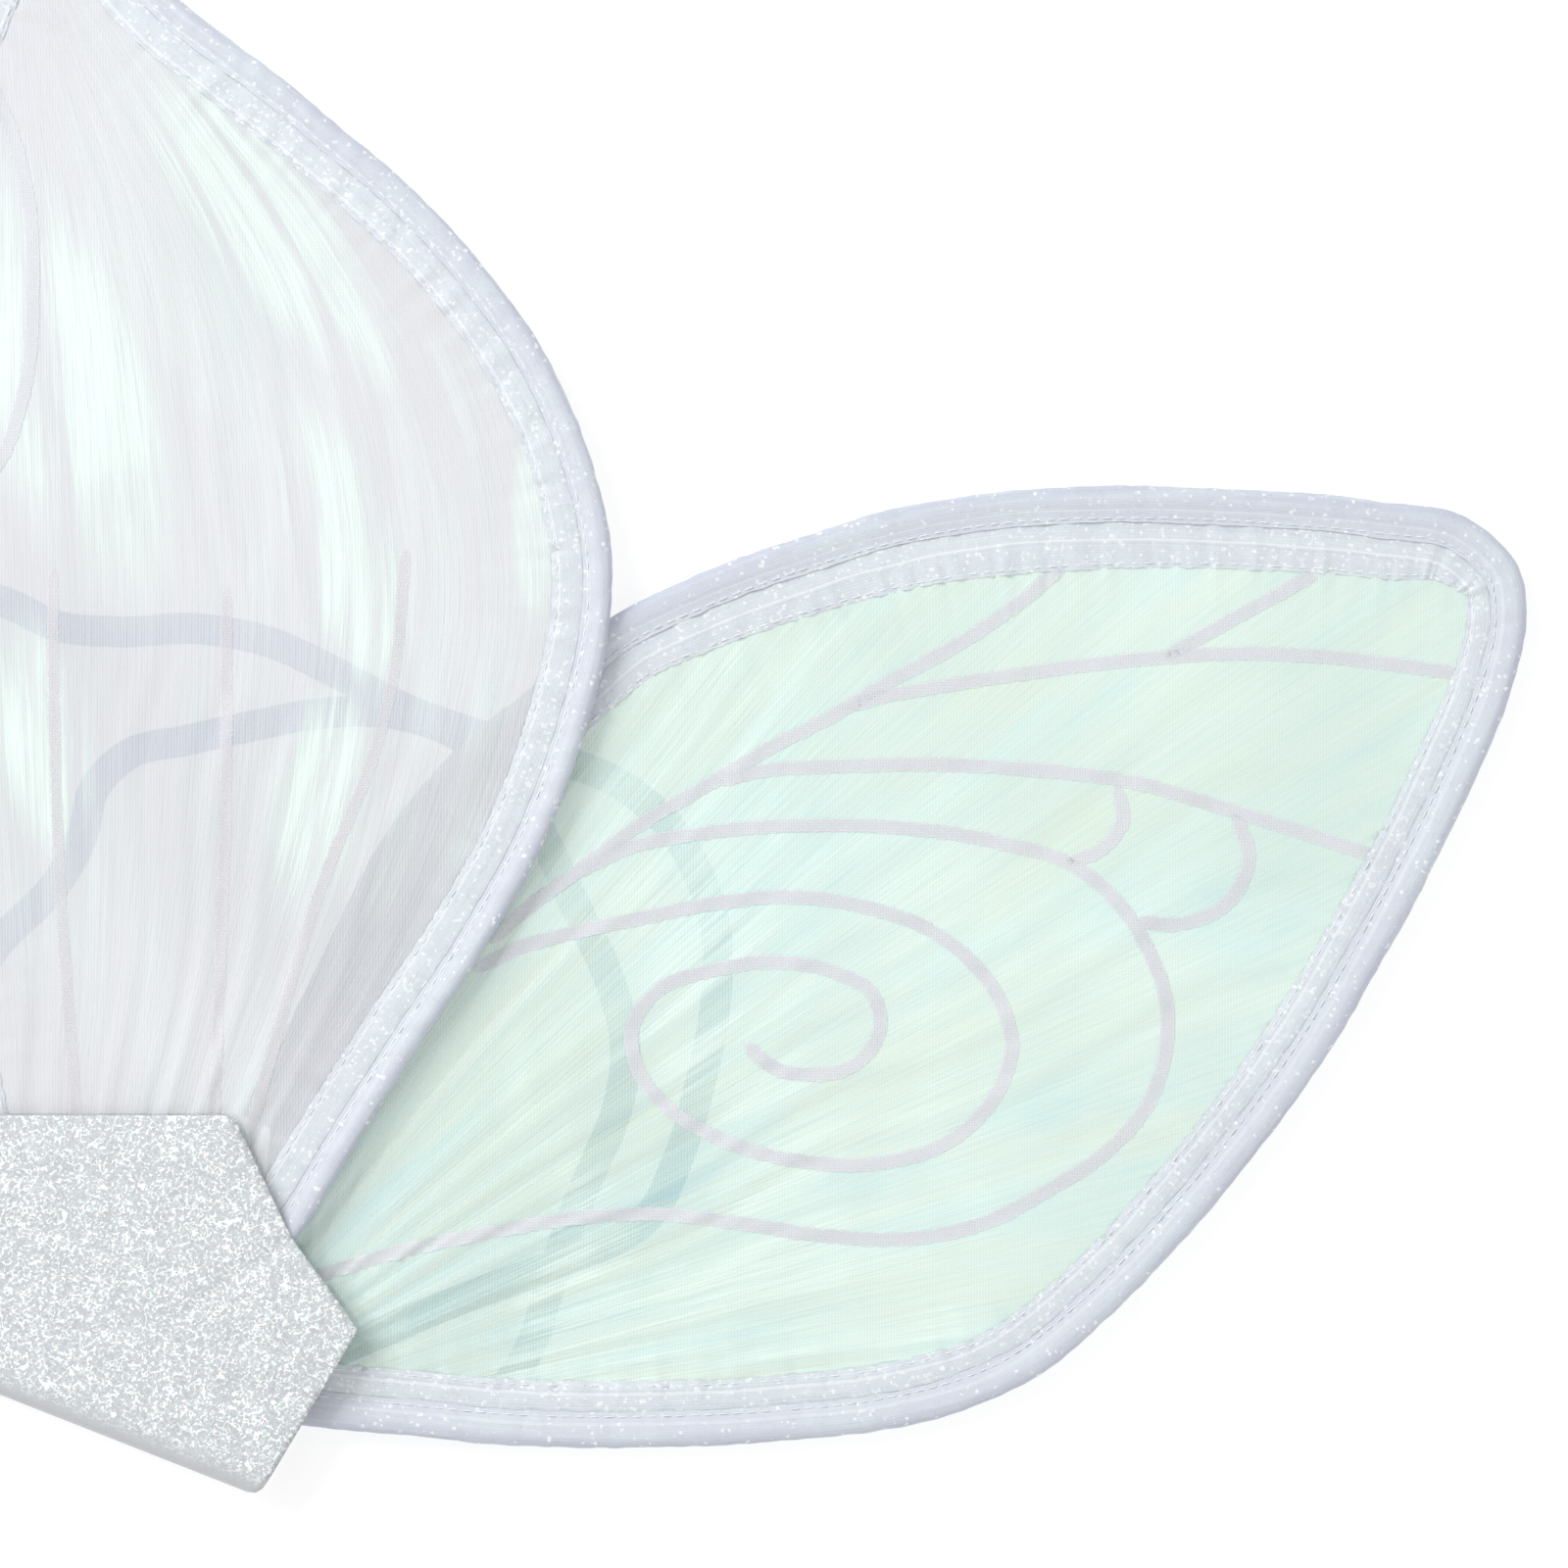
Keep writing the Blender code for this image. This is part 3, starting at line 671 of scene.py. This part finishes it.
def elastic():
    """Braided elastic: ribs along it, short diagonal stitches across it, and a little fuzz."""
    n = Nodes("elastic_braid")
    flow = n.attribute("flow")
    ribs = n.math("COSINE", n.math("MULTIPLY", n.part(flow, 1), 2 * math.pi * STRAP_RIBS / STRAP_W))
    slant = n.math("ADD", n.part(flow, 0), n.math("MULTIPLY", n.math("ABSOLUTE", ribs), 0.35))
    picks = n.math("MULTIPLY_ADD", n.math("SINE", n.math("MULTIPLY", slant, 2 * math.pi / 0.85)), 0.5, 0.5)
    fuzz = n.noise(flow, 1.4, 3, 0.6)
    tint = n.mix(n.math("MULTIPLY_ADD", ribs, 0.25, 0.4), (0.40, 0.53, 0.90), (0.60, 0.74, 1.0))
    tint = n.mix(n.math("MULTIPLY", picks, 0.22), tint, (0.28, 0.40, 0.76))
    tint = n.mix(n.math("MULTIPLY", fuzz, 0.2), tint, (0.80, 0.88, 0.99))
    n.bump(n.math("ADD", n.math("MULTIPLY", ribs, 0.5), n.math("MULTIPLY", picks, 0.6)), 0.15, 0.8)
    return n.set(Base_Color=tint, Roughness=0.75, Sheen_Weight=0.2, Sheen_Roughness=0.5)


def thread():
    """Pale two-ply sewing thread."""
    n = Nodes("sewing_thread")
    twist = n.part(n.attribute("flow"), 0)
    ply = n.math("MULTIPLY_ADD", n.math("SINE", n.math("MULTIPLY", twist, 2 * math.pi / 0.45)), 0.5, 0.5)
    tint = n.mix(n.math("MULTIPLY", ply, 0.5), (0.86, 0.90, 0.93), (0.74, 0.78, 0.83))
    n.bump(ply, 0.05, 0.6)
    return n.set(Base_Color=tint, Roughness=0.5, Sheen_Weight=0.2)


def metal(name, colour, rough, drawn):
    """Bright drawn or crimped metal, with fine scratches."""
    n = Nodes(name)
    place = n.own()
    marks = n.noise(n.stretched(place, drawn), 1.0, 4, 0.65)
    dull = n.noise(place, 0.3, 2, 0.5)
    tint = n.mix(n.between(dull, 0.3, 0.75), colour, tuple(0.82 * c for c in colour))
    n.bump(marks, 0.03, 0.5)
    return n.set(Base_Color=tint, Metallic=1.0, Roughness=n.math("MULTIPLY_ADD", marks, 0.25, rough))


def board():
    """Plain stiff board, with fibres and a few dark specks."""
    n = Nodes("stiff_board")
    place = n.own()
    fibres = n.noise(n.stretched(place, (0.5, 2.2, 2.2)), 1.0, 5, 0.7)
    specks = n.between(n.noise(place, 2.6, 2, 0.5), 0.62, 0.75)
    tint = n.mix(fibres, (0.66, 0.65, 0.62), (0.84, 0.83, 0.80))
    tint = n.mix(n.math("MULTIPLY", specks, 0.35), tint, (0.45, 0.43, 0.40))
    n.bump(fibres, 0.08, 0.6)
    return n.set(Base_Color=tint, Roughness=0.85)


# Colour stops of the cloths' painted iridescent sheen and of the glitter's painted glints
MINT_SHEEN_HUES = (
    (0.0, (0.98, 0.92, 1.0)), (0.32, (0.84, 0.97, 1.04)), (0.43, (0.94, 1.0, 1.0)),
    (0.55, (1.0, 1.0, 0.98)), (0.65, (1.03, 1.01, 0.92)), (0.76, (1.06, 0.96, 0.98)),
    (1.0, (1.0, 0.93, 1.02)),
)
PINK_SHEEN_HUES = (
    (0.0, (0.96, 0.97, 1.02)), (0.38, (1.0, 0.99, 1.0)), (0.55, (1.0, 1.0, 1.0)),
    (0.68, (0.95, 1.0, 0.98)), (1.0, (1.0, 0.97, 1.0)),
)
GLITTER_GLINT_HUES = (
    (0.0, (0.86, 1.0, 0.96)), (0.5, (0.97, 1.0, 1.0)), (0.8, (1.0, 0.97, 1.0)), (1.0, (1.0, 1.0, 0.92)),
)
# Thin seam lines: a pale painted highlight and a dark painted shade
SEAM_HIGHLIGHT, SEAM_SHADE = (0.90, 0.93, 0.96), (0.45, 0.48, 0.56)

# Their hue tints are painted iridescent sheen, and their streak and spot colours are painted sheen.
MINT_CLOTH = organza(
    "organza_mint", base=(0.67, 0.80, 0.73), sheen_colour=(0.88, 1.0, 0.92), sheen_hues=MINT_SHEEN_HUES,
    opacity=0.885, sheen_share=0.65, fade=(110.0, 235.0),
)
PINK_CLOTH = organza(
    "organza_pink", base=(0.71, 0.695, 0.725), sheen_colour=(0.86, 1.0, 0.91), sheen_hues=PINK_SHEEN_HUES,
    opacity=0.88, sheen_share=0.92, spots=PINK_SHEEN_SPOTS,
)
# edge is the colour of the painted rim shade, and the seam lines are painted shade (dark) and painted
# highlight (pale)
TUBE_CLOTH = ribbon(
    "casing_ribbon", base=(0.67, 0.695, 0.775), edge=(0.56, 0.59, 0.69), glitter=(0.71, 0.77, 0.80),
    opacity=0.93, amount=0.06, seams=((3.9, 0.08, SEAM_SHADE), (4.6, 0.25, SEAM_HIGHLIGHT)),
)
HEM_CLOTH = ribbon(
    "glitter_ribbon", base=(0.715, 0.755, 0.81), edge=(0.69, 0.725, 0.79), glitter=(0.75, 0.82, 0.84),
    opacity=0.92, amount=0.16, seams=((8.0, 0.10, SEAM_SHADE), (10.3, 0.6, SEAM_HIGHLIGHT), (10.9, 0.12, SEAM_SHADE)),
)
VEIN_CLOTH = vein_print("vein_print", (0.85, 0.87, 0.905), 0.60)
BAND_CLOTH = vein_print("vein_print_faint", (0.89, 0.88, 0.91), 0.40)
GLITTER = glitter_cloth()
ELASTIC = elastic()
THREAD = thread()
STEEL = metal("galvanised_wire", (0.62, 0.63, 0.65), 0.25, (0.2, 3.0, 3.0))
ALUMINIUM = metal("crimped_sleeve", (0.72, 0.73, 0.74), 0.32, (1.5, 1.5, 1.5))
BOARD = board()


# Camera first, then the cords


def make_camera():
    """Straight above the right-hand pair, with +Y up in the picture."""
    data = bpy.data.cameras.new("camera")
    data.type = "PERSP"
    data.sensor_width = SENSOR
    data.lens = SENSOR * VIEW_HEIGHT / VIEW_WIDTH
    camera = bpy.data.objects.new("camera", data)
    camera.location = (VIEW_MIDDLE[0] * MM, VIEW_MIDDLE[1] * MM, (VIEW_HEIGHT + VIEW_LEVEL) * MM)
    bpy.context.scene.collection.objects.link(camera)
    bpy.context.scene.camera = camera


def make_strap(tag, side):
    """The flat braided elastic along its route, with ribs on both faces and thin edges."""
    path, along = even(smooth(STRAP_ROUTE), 1.0)
    left = across_of(path)
    count = STRAP_RIBS * 4
    top = np.linspace(-0.5, 0.5, count + 1)
    height = STRAP_THICK / 2 * (0.84 + 0.16 * np.cos(2 * math.pi * STRAP_RIBS * top))
    height[[0, -1]] *= 0.45
    v = np.concatenate([top, top[::-1]]) * STRAP_W
    up = np.concatenate([-height, height[::-1]])
    rings = np.empty((len(path), len(v), 3))
    rings[:, :, :2] = path[:, None, :2] + left[:, None] * v[None, :, None]
    rings[:, :, 2] = path[:, 2:3] + up[None]
    flow = np.empty_like(rings)
    flow[:, :, 0], flow[:, :, 1], flow[:, :, 2] = along[:, None], v[None], 0
    strap = tube(f"shoulder_strap_{tag}", rings, side, flow)
    finish_piece(strap, ELASTIC, f"{tag}_half", [f"strap_{tag}"])


# Wings


def make_casing(wing, tag, side):
    """The ribbon folded round the wire: round at the wire, its two edges pinched together at the seam."""
    size = 18
    turn = math.pi * (1 + 2 * np.arange(size + 1) / size)
    share = (1 - np.cos(turn)) / 2
    above = np.where(np.arange(size + 1) < size / 2, -1, 1)
    rise = np.sqrt(np.maximum(1 - ((TUBE_CROWN - share) / TUBE_CROWN) ** 2, 0))
    slope = 0.5 + 0.5 * np.cos(math.pi * (share - TUBE_CROWN) / (1 - TUBE_CROWN))
    bulge = np.where(share < TUBE_CROWN, rise, TUBE_SEAM + (1 - TUBE_SEAM) * slope)
    along = wing.along[:, None]
    ripple = 0.07 * wander(along + 2 * share + 40 * above, 7.5, 11)
    ripple += 0.03 * wander(along + 40 * above, 2.6, 12)
    lift = bulge * TUBE_HALF * (1 + ripple * (0.35 + share))
    edge = 0.22 * wander(along, 26, 21) + 0.10 * wander(along, 6, 22)
    distance = np.minimum(share * wing.casing + edge * np.abs(0.5 - share), wing.reach[:, None])
    rings = wing.rings(distance, wing.z + above * lift)
    # painted shade on the outer edge of the round casing, where it turns down away from the light
    rim = np.broadcast_to(ramp_between(1 - share, 0.45, 1.0), distance.shape)
    obj = strip(f"{wing.name}_wire_casing_{tag}", rings, side, wing.strip_flow(distance), rim=rim)
    finish_piece(obj, TUBE_CLOTH, f"{tag}_half", [f"{wing.name}_casing_{tag}"])


def make_hem(wing, tag, side):
    """The glitter ribbon folded over the organza's edge, back and front, with ragged inner edges."""
    across = np.linspace(0, 1, 9)
    share = np.concatenate([across[:0:-1], across])
    above = np.where(np.arange(len(share)) < 8, -1, 1)
    above[8] = 0
    along = wing.along[:, None]
    ragged = np.random.default_rng(31).uniform(-0.15, 0.15, (len(wing.path), 1))
    puckers = wing.pucker * wander(along + 1.2 * share, 3.6, 32) * (np.abs(share - 0.5) * 2) ** 1.5
    crown = 0.16 + 0.34 * np.sin(math.pi * share) ** 0.8 + 0.08 * wander(along + 3 * share, 8, 33)
    width = wing.hem[:, None] + HEM_TUCK
    distance = wing.casing - HEM_TUCK + share * width + ragged * (share > 0.99)
    distance = np.minimum(distance, wing.reach[:, None])
    rings = wing.rings(distance, 0)
    base = wing.sheet_z(rings[:, :, :2].reshape(-1, 2)).reshape(distance.shape)
    rings[:, :, 2] = base + np.maximum(crown + puckers, 0.09) * above
    # painted shade where the hem tucks under the casing and along its ragged inner edge
    rim = 1 - ramp_between(share, 0.0, 0.22) + 0.6 * ramp_between(share, 0.9, 1.0)
    rim = np.broadcast_to(rim, distance.shape)
    obj = strip(f"{wing.name}_glitter_hem_{tag}", rings, side, wing.strip_flow(distance), rim=rim)
    finish_piece(obj, HEM_CLOTH, f"{tag}_half", [f"{wing.name}_hem_{tag}"])


def make_stitches(wing, tag, side):
    """Machine stitches along the casing's seam and the hem's inner edge, half sunk in the ribbon."""
    points, faces, flows = [], [], []
    length, gap, radius = 2.3, 0.5, 0.13
    along_one = np.array([0.0, 0.2, 0.5, 0.8, 1.0]) * length
    thick = radius * np.array([0.3, 0.9, 1.0, 0.9, 0.3])
    arch = np.array([-0.2, 0.02, 0.06, 0.02, -0.2])
    turns = np.radians(np.arange(0, 360, 60))
    seam = wing.at(wing.casing - STITCH_INSET)
    inner = wing.at(wing.casing + wing.hem - STITCH_INSET)
    rows = ((seam, np.full(len(wing.path), wing.z + 0.60)), (inner, wing.sheet_z(inner) + 0.30))
    for line, height in rows:
        measures = (line[:, 0], line[:, 1], height, wing.inward[:, 0], wing.inward[:, 1])
        for start in np.arange(0, wing.along[-1] - length, length + gap):
            at = start + along_one
            x, y, z, across_x, across_y = (np.interp(at, wing.along, values) for values in measures)
            first = len(points)
            for i in range(5):
                for turn in turns:
                    out = math.cos(turn) * thick[i]
                    points.append((x[i] + across_x[i] * out, y[i] + across_y[i] * out,
                                   z[i] + arch[i] + math.sin(turn) * thick[i]))
                    flows.append((at[i] + 0.07 * turn, 0.0, 0.0))
            faces += [face[::-1] for face in grid_faces(5, 6, first=first)]
    obj = add_mesh(f"{wing.name}_stitching_{tag}", points, faces, side, flows)
    finish_piece(obj, THREAD, f"{tag}_half")


def make_membrane(wing, tag, side, points, faces):
    """The organza stretched on the wire."""
    flow = wing.flow(points)
    height = wing.sheet_z(points)
    material = MINT_CLOTH if wing.name == "lower" else PINK_CLOTH
    obj = add_mesh(f"{wing.name}_organza_{tag}", np.column_stack([points, height]), faces, side, flow)
    finish_piece(obj, material, f"{tag}_half", [f"{wing.name}_membrane_{tag}"])


def make_veins(name, wing, tag, side, lines, half, material):
    """Printed veins, each a thin band on the organza with edges as stepped as the weave."""
    draw = np.random.default_rng(41)
    points, faces, flows = [], [], []
    for line in lines:
        path, along = even(smooth(line), 0.5)
        left = across_of(path)
        for up in VEIN_RISES:
            first = len(points)
            for edge in (-1.0, -0.5, 0.0, 0.5, 1.0):
                jag = draw.uniform(-0.16, 0.16, len(path)) * (abs(edge) == 1)
                taper = ramp_between(along, -2, 3) * ramp_between(along[-1] - along, -1, 2)
                offset = (half * edge + jag) * np.maximum(taper, 0.4)
                flat = path + left * offset[:, None]
                z = wing.sheet_z(flat) + up
                points += np.column_stack([flat, z]).tolist()
                flows += np.column_stack([along, offset, z]).tolist()
            rings = len(path)
            for j in range(4):
                for i in range(rings - 1):
                    a = first + j * rings + i
                    quad = (a, a + 1, a + rings + 1, a + rings)
                    faces.append(quad if up == VEIN_RISES[0] else quad[::-1])
    obj = add_mesh(name, points, faces, side, flows)
    finish_piece(obj, material, f"{tag}_half")


def make_wire(wing, tag, side):
    """The bare wire in the middle of the casing, and on through the patch to its two ends."""
    wire = even(np.concatenate([wing.loop, wing.loop[:1]]), 2.0)[0]
    inward = across_of(wire)
    wire = wire + wing.casing / 2 * inward
    start = int(np.argmin(wire @ wing.normal))
    wire = np.concatenate([wire[start + 1 :], wire[1 : start - 1]])
    inward = across_of(wire)
    turn = 2 * math.pi * np.arange(10) / 10
    rings = np.empty((len(wire), 10, 3))
    rings[:, :, :2] = wire[:, None] + inward[:, None] * (np.cos(turn) * WIRE_R)[None, :, None]
    rings[:, :, 2] = wing.z + (np.sin(turn) * WIRE_R)[None]
    obj = tube(f"{wing.name}_steel_wire_{tag}", rings[:, ::-1], side, rings)
    finish_piece(obj, STEEL, f"{tag}_half", [f"{wing.name}_wire_{tag}"])


# Back patch


def patch_polygon():
    """The half patch seen from the front, its foot rounded."""
    foot = np.array(PATCH_FOOT)
    fold_end = np.array((PATCH_INNER_X, FOLD_Y + FOLD_SLOPE * PATCH_INNER_X))
    to_fold = (fold_end - foot) / np.linalg.norm(fold_end - foot)
    to_point = (np.array(PATCH_RIGHT[0]) - foot) / np.linalg.norm(np.array(PATCH_RIGHT[0]) - foot)
    half = math.acos(float(to_fold @ to_point)) / 2
    start = foot + to_fold * FOOT_RADIUS / math.tan(half)
    end = foot + to_point * FOOT_RADIUS / math.tan(half)
    rounded = [(1 - t) ** 2 * start + 2 * t * (1 - t) * foot + t**2 * end for t in np.linspace(0, 1, 7)]
    return np.array([fold_end, *rounded, *PATCH_RIGHT, (PATCH_INNER_X, PATCH_TOP_Y)])


def fold_distance(points):
    """How far each point lies from the patch's folded lower edge."""
    return (points[:, 1] - FOLD_Y - FOLD_SLOPE * points[:, 0]) * math.cos(math.atan(FOLD_SLOPE))


def make_patch(tag, side):
    """One half of the patch: glitter cloth over front and back, folded round the slanted lower edge."""
    polygon = patch_polygon()
    radius = PATCH_TOP / 2
    direction = np.array((math.cos(math.atan(FOLD_SLOPE)), math.sin(math.atan(FOLD_SLOPE))))
    up = np.array((-direction[1], direction[0]))
    base = np.array((0.0, FOLD_Y))
    rows = []
    for angle in np.radians((18, 36, 54, 72, 90)):
        for run in np.arange(2, 92, 1.6):
            rows.append(base + direction * run + up * radius * (1 - math.cos(angle)))
    points, faces = filled(polygon, 1.7, np.array(rows))
    q = np.maximum(fold_distance(points), 0)
    swell = np.where(q < radius, np.sqrt(np.maximum(radius**2 - (radius - q) ** 2, 0)), radius)
    cut_edges = np.concatenate([even(polygon[i : i + 2], 1.0)[0] for i in range(7, 11)])
    calm = ramp_between(nearest(points, cut_edges)[0], 0, 9)
    a, b = np.array(CREASE)
    along = (b - a) / np.linalg.norm(b - a)
    gap = np.abs((points - a) @ np.array((-along[1], along[0])))
    run = (points - a) @ along
    crease = CREASE_DEPTH * np.exp(-((gap / CREASE_HALF) ** 2))
    crease *= ramp_between(run, -6, 4) * ramp_between(-run, -30, -20)
    dip = 0.35 * (1 - calm)
    uneven = 0.16 * wander(points[:, 0] + points[:, 1], 21, 51) * wander(points[:, 1] - points[:, 0], 17, 52)
    front = radius + swell + (uneven * calm - crease - dip) * ramp_between(q, 1, 6)
    back = radius - swell
    count = len(points)
    joined = q < 0.02
    numbers = np.where(joined, np.arange(count), np.arange(count) + count)
    everything = np.concatenate([np.column_stack([points, front]), np.column_stack([points, back])])
    skin = list(faces) + [tuple(int(numbers[i]) for i in face[::-1]) for face in faces]
    # 1 away from the fold and 0 on it, where painted shade takes the place of the glitter
    glitter = np.tile(ramp_between(q, 1.2, 5.6), 2)
    obj = add_mesh(f"glitter_patch_{tag}", everything, skin, side, glitter=glitter)
    shell = obj.modifiers.new("cloth", "SOLIDIFY")
    shell.thickness = PATCH_CLOTH * MM
    shell.offset = -1.0
    finish_piece(obj, GLITTER, f"{tag}_half", [f"cover_{tag}"])


def make_spine():
    """The bound strip between the halves, softly rounded."""
    low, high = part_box("spine_cover")
    low, high = np.array(low) / MM, np.array(high) / MM
    end = 1.6 * (1 - np.cos(np.radians((15, 40, 65, 90))))
    rows = np.concatenate([low[1] + end, np.arange(low[1] + 2.4, high[1] - 2.0, 0.8), high[1] - end[::-1]])
    size = 28
    turn = 2 * math.pi * np.arange(size) / size
    circle = np.stack([np.cos(turn), np.sin(turn)], axis=1)
    shape = np.sign(circle) * np.abs(circle) ** 0.45
    half = np.array(((high[0] - low[0]) / 2, (high[2] - low[2]) / 2))
    rings = np.empty((len(rows), size, 3))
    for i, y in enumerate(rows):
        near = min(y - low[1], high[1] - y)
        round_off = 1 - 0.16 * (1 - ramp_between(near, 0, 1.6))
        quilt = 1 + 0.02 * wander(np.array([y]), 6, 61)[0]
        rings[i, :, 0] = shape[:, 0] * half[0] * round_off * min(quilt, 1.0)
        rings[i, :, 1] = y
        rings[i, :, 2] = (low[2] + high[2]) / 2 + shape[:, 1] * half[1] * round_off
    obj = tube("spine_binding", rings, 1, rings, glitter=1.0)
    finish_piece(obj, GLITTER, "spine", ["spine_cover"])


# Stage


def make_floor():
    h = FLOOR_HALF
    mesh = bpy.data.meshes.new("floor")
    mesh.from_pydata([(-h, -h, 0), (h, -h, 0), (h, h, 0), (-h, h, 0)], [], [(0, 1, 2, 3)])
    floor = bpy.data.objects.new("floor", mesh)
    floor.location.z = -FLOOR_DROP
    bpy.context.scene.collection.objects.link(floor)
    n = Nodes("floor")
    paper = n.set(Base_Color=(0.35, 0.35, 0.35), Roughness=0.9, Specular_IOR_Level=0.0,
                  Emission_Color=(1.0, 1.0, 1.0, 1.0), Emission_Strength=0.72)
    mesh.materials.append(paper)


def make_lights():
    world = bpy.data.worlds.new("studio")
    world.use_nodes = True
    background = world.node_tree.nodes["Background"]
    background.inputs["Color"].default_value = (1.0, 1.0, 1.0, 1.0)
    background.inputs["Strength"].default_value = 0.73
    bpy.context.scene.world = world
    for name, place, power, wide in LAMPS:
        light = bpy.data.lights.new(name, "AREA")
        light.energy = power
        light.size = wide
        lamp = bpy.data.objects.new(name, light)
        lamp.location = place
        aim = np.array(LAMP_TARGET) - np.array(place)
        tilt = math.acos(-aim[2] / np.linalg.norm(aim))
        lamp.rotation_euler = (tilt, 0, math.atan2(aim[1], aim[0]) - math.pi / 2)
        bpy.context.scene.collection.objects.link(lamp)
    bpy.context.scene.view_settings.view_transform = "Standard"


def make_wing(name):
    """Every piece of one wing, on both sides."""
    wing = Wing(name)
    points, faces = filled(wing.at(wing.casing - 1.0), SHEET_STEP)
    for tag, side in SIDES:
        make_casing(wing, tag, side)
        make_hem(wing, tag, side)
        make_stitches(wing, tag, side)
        make_membrane(wing, tag, side, points, faces)
        make_wire(wing, tag, side)
        veins = LOWER_VEINS if name == "lower" else UPPER_VEINS
        make_veins(f"{name}_veins_{tag}", wing, tag, side, veins, VEIN_HALF, VEIN_CLOTH)
        if name == "upper":
            make_veins(f"upper_faint_veins_{tag}", wing, tag, side, UPPER_BANDS, BAND_HALF, BAND_CLOTH)
        dress(f"{name}_clamp_{tag}", ALUMINIUM)


def main():
    make_camera()
    for tag, side in SIDES:
        make_strap(tag, side)
    for name in WINGS:
        make_wing(name)
    for tag, side in SIDES:
        make_patch(tag, side)
        dress(f"stiffener_{tag}", BOARD)
    make_spine()
    dress("spine_stay", BOARD)
    make_floor()
    make_lights()


main()
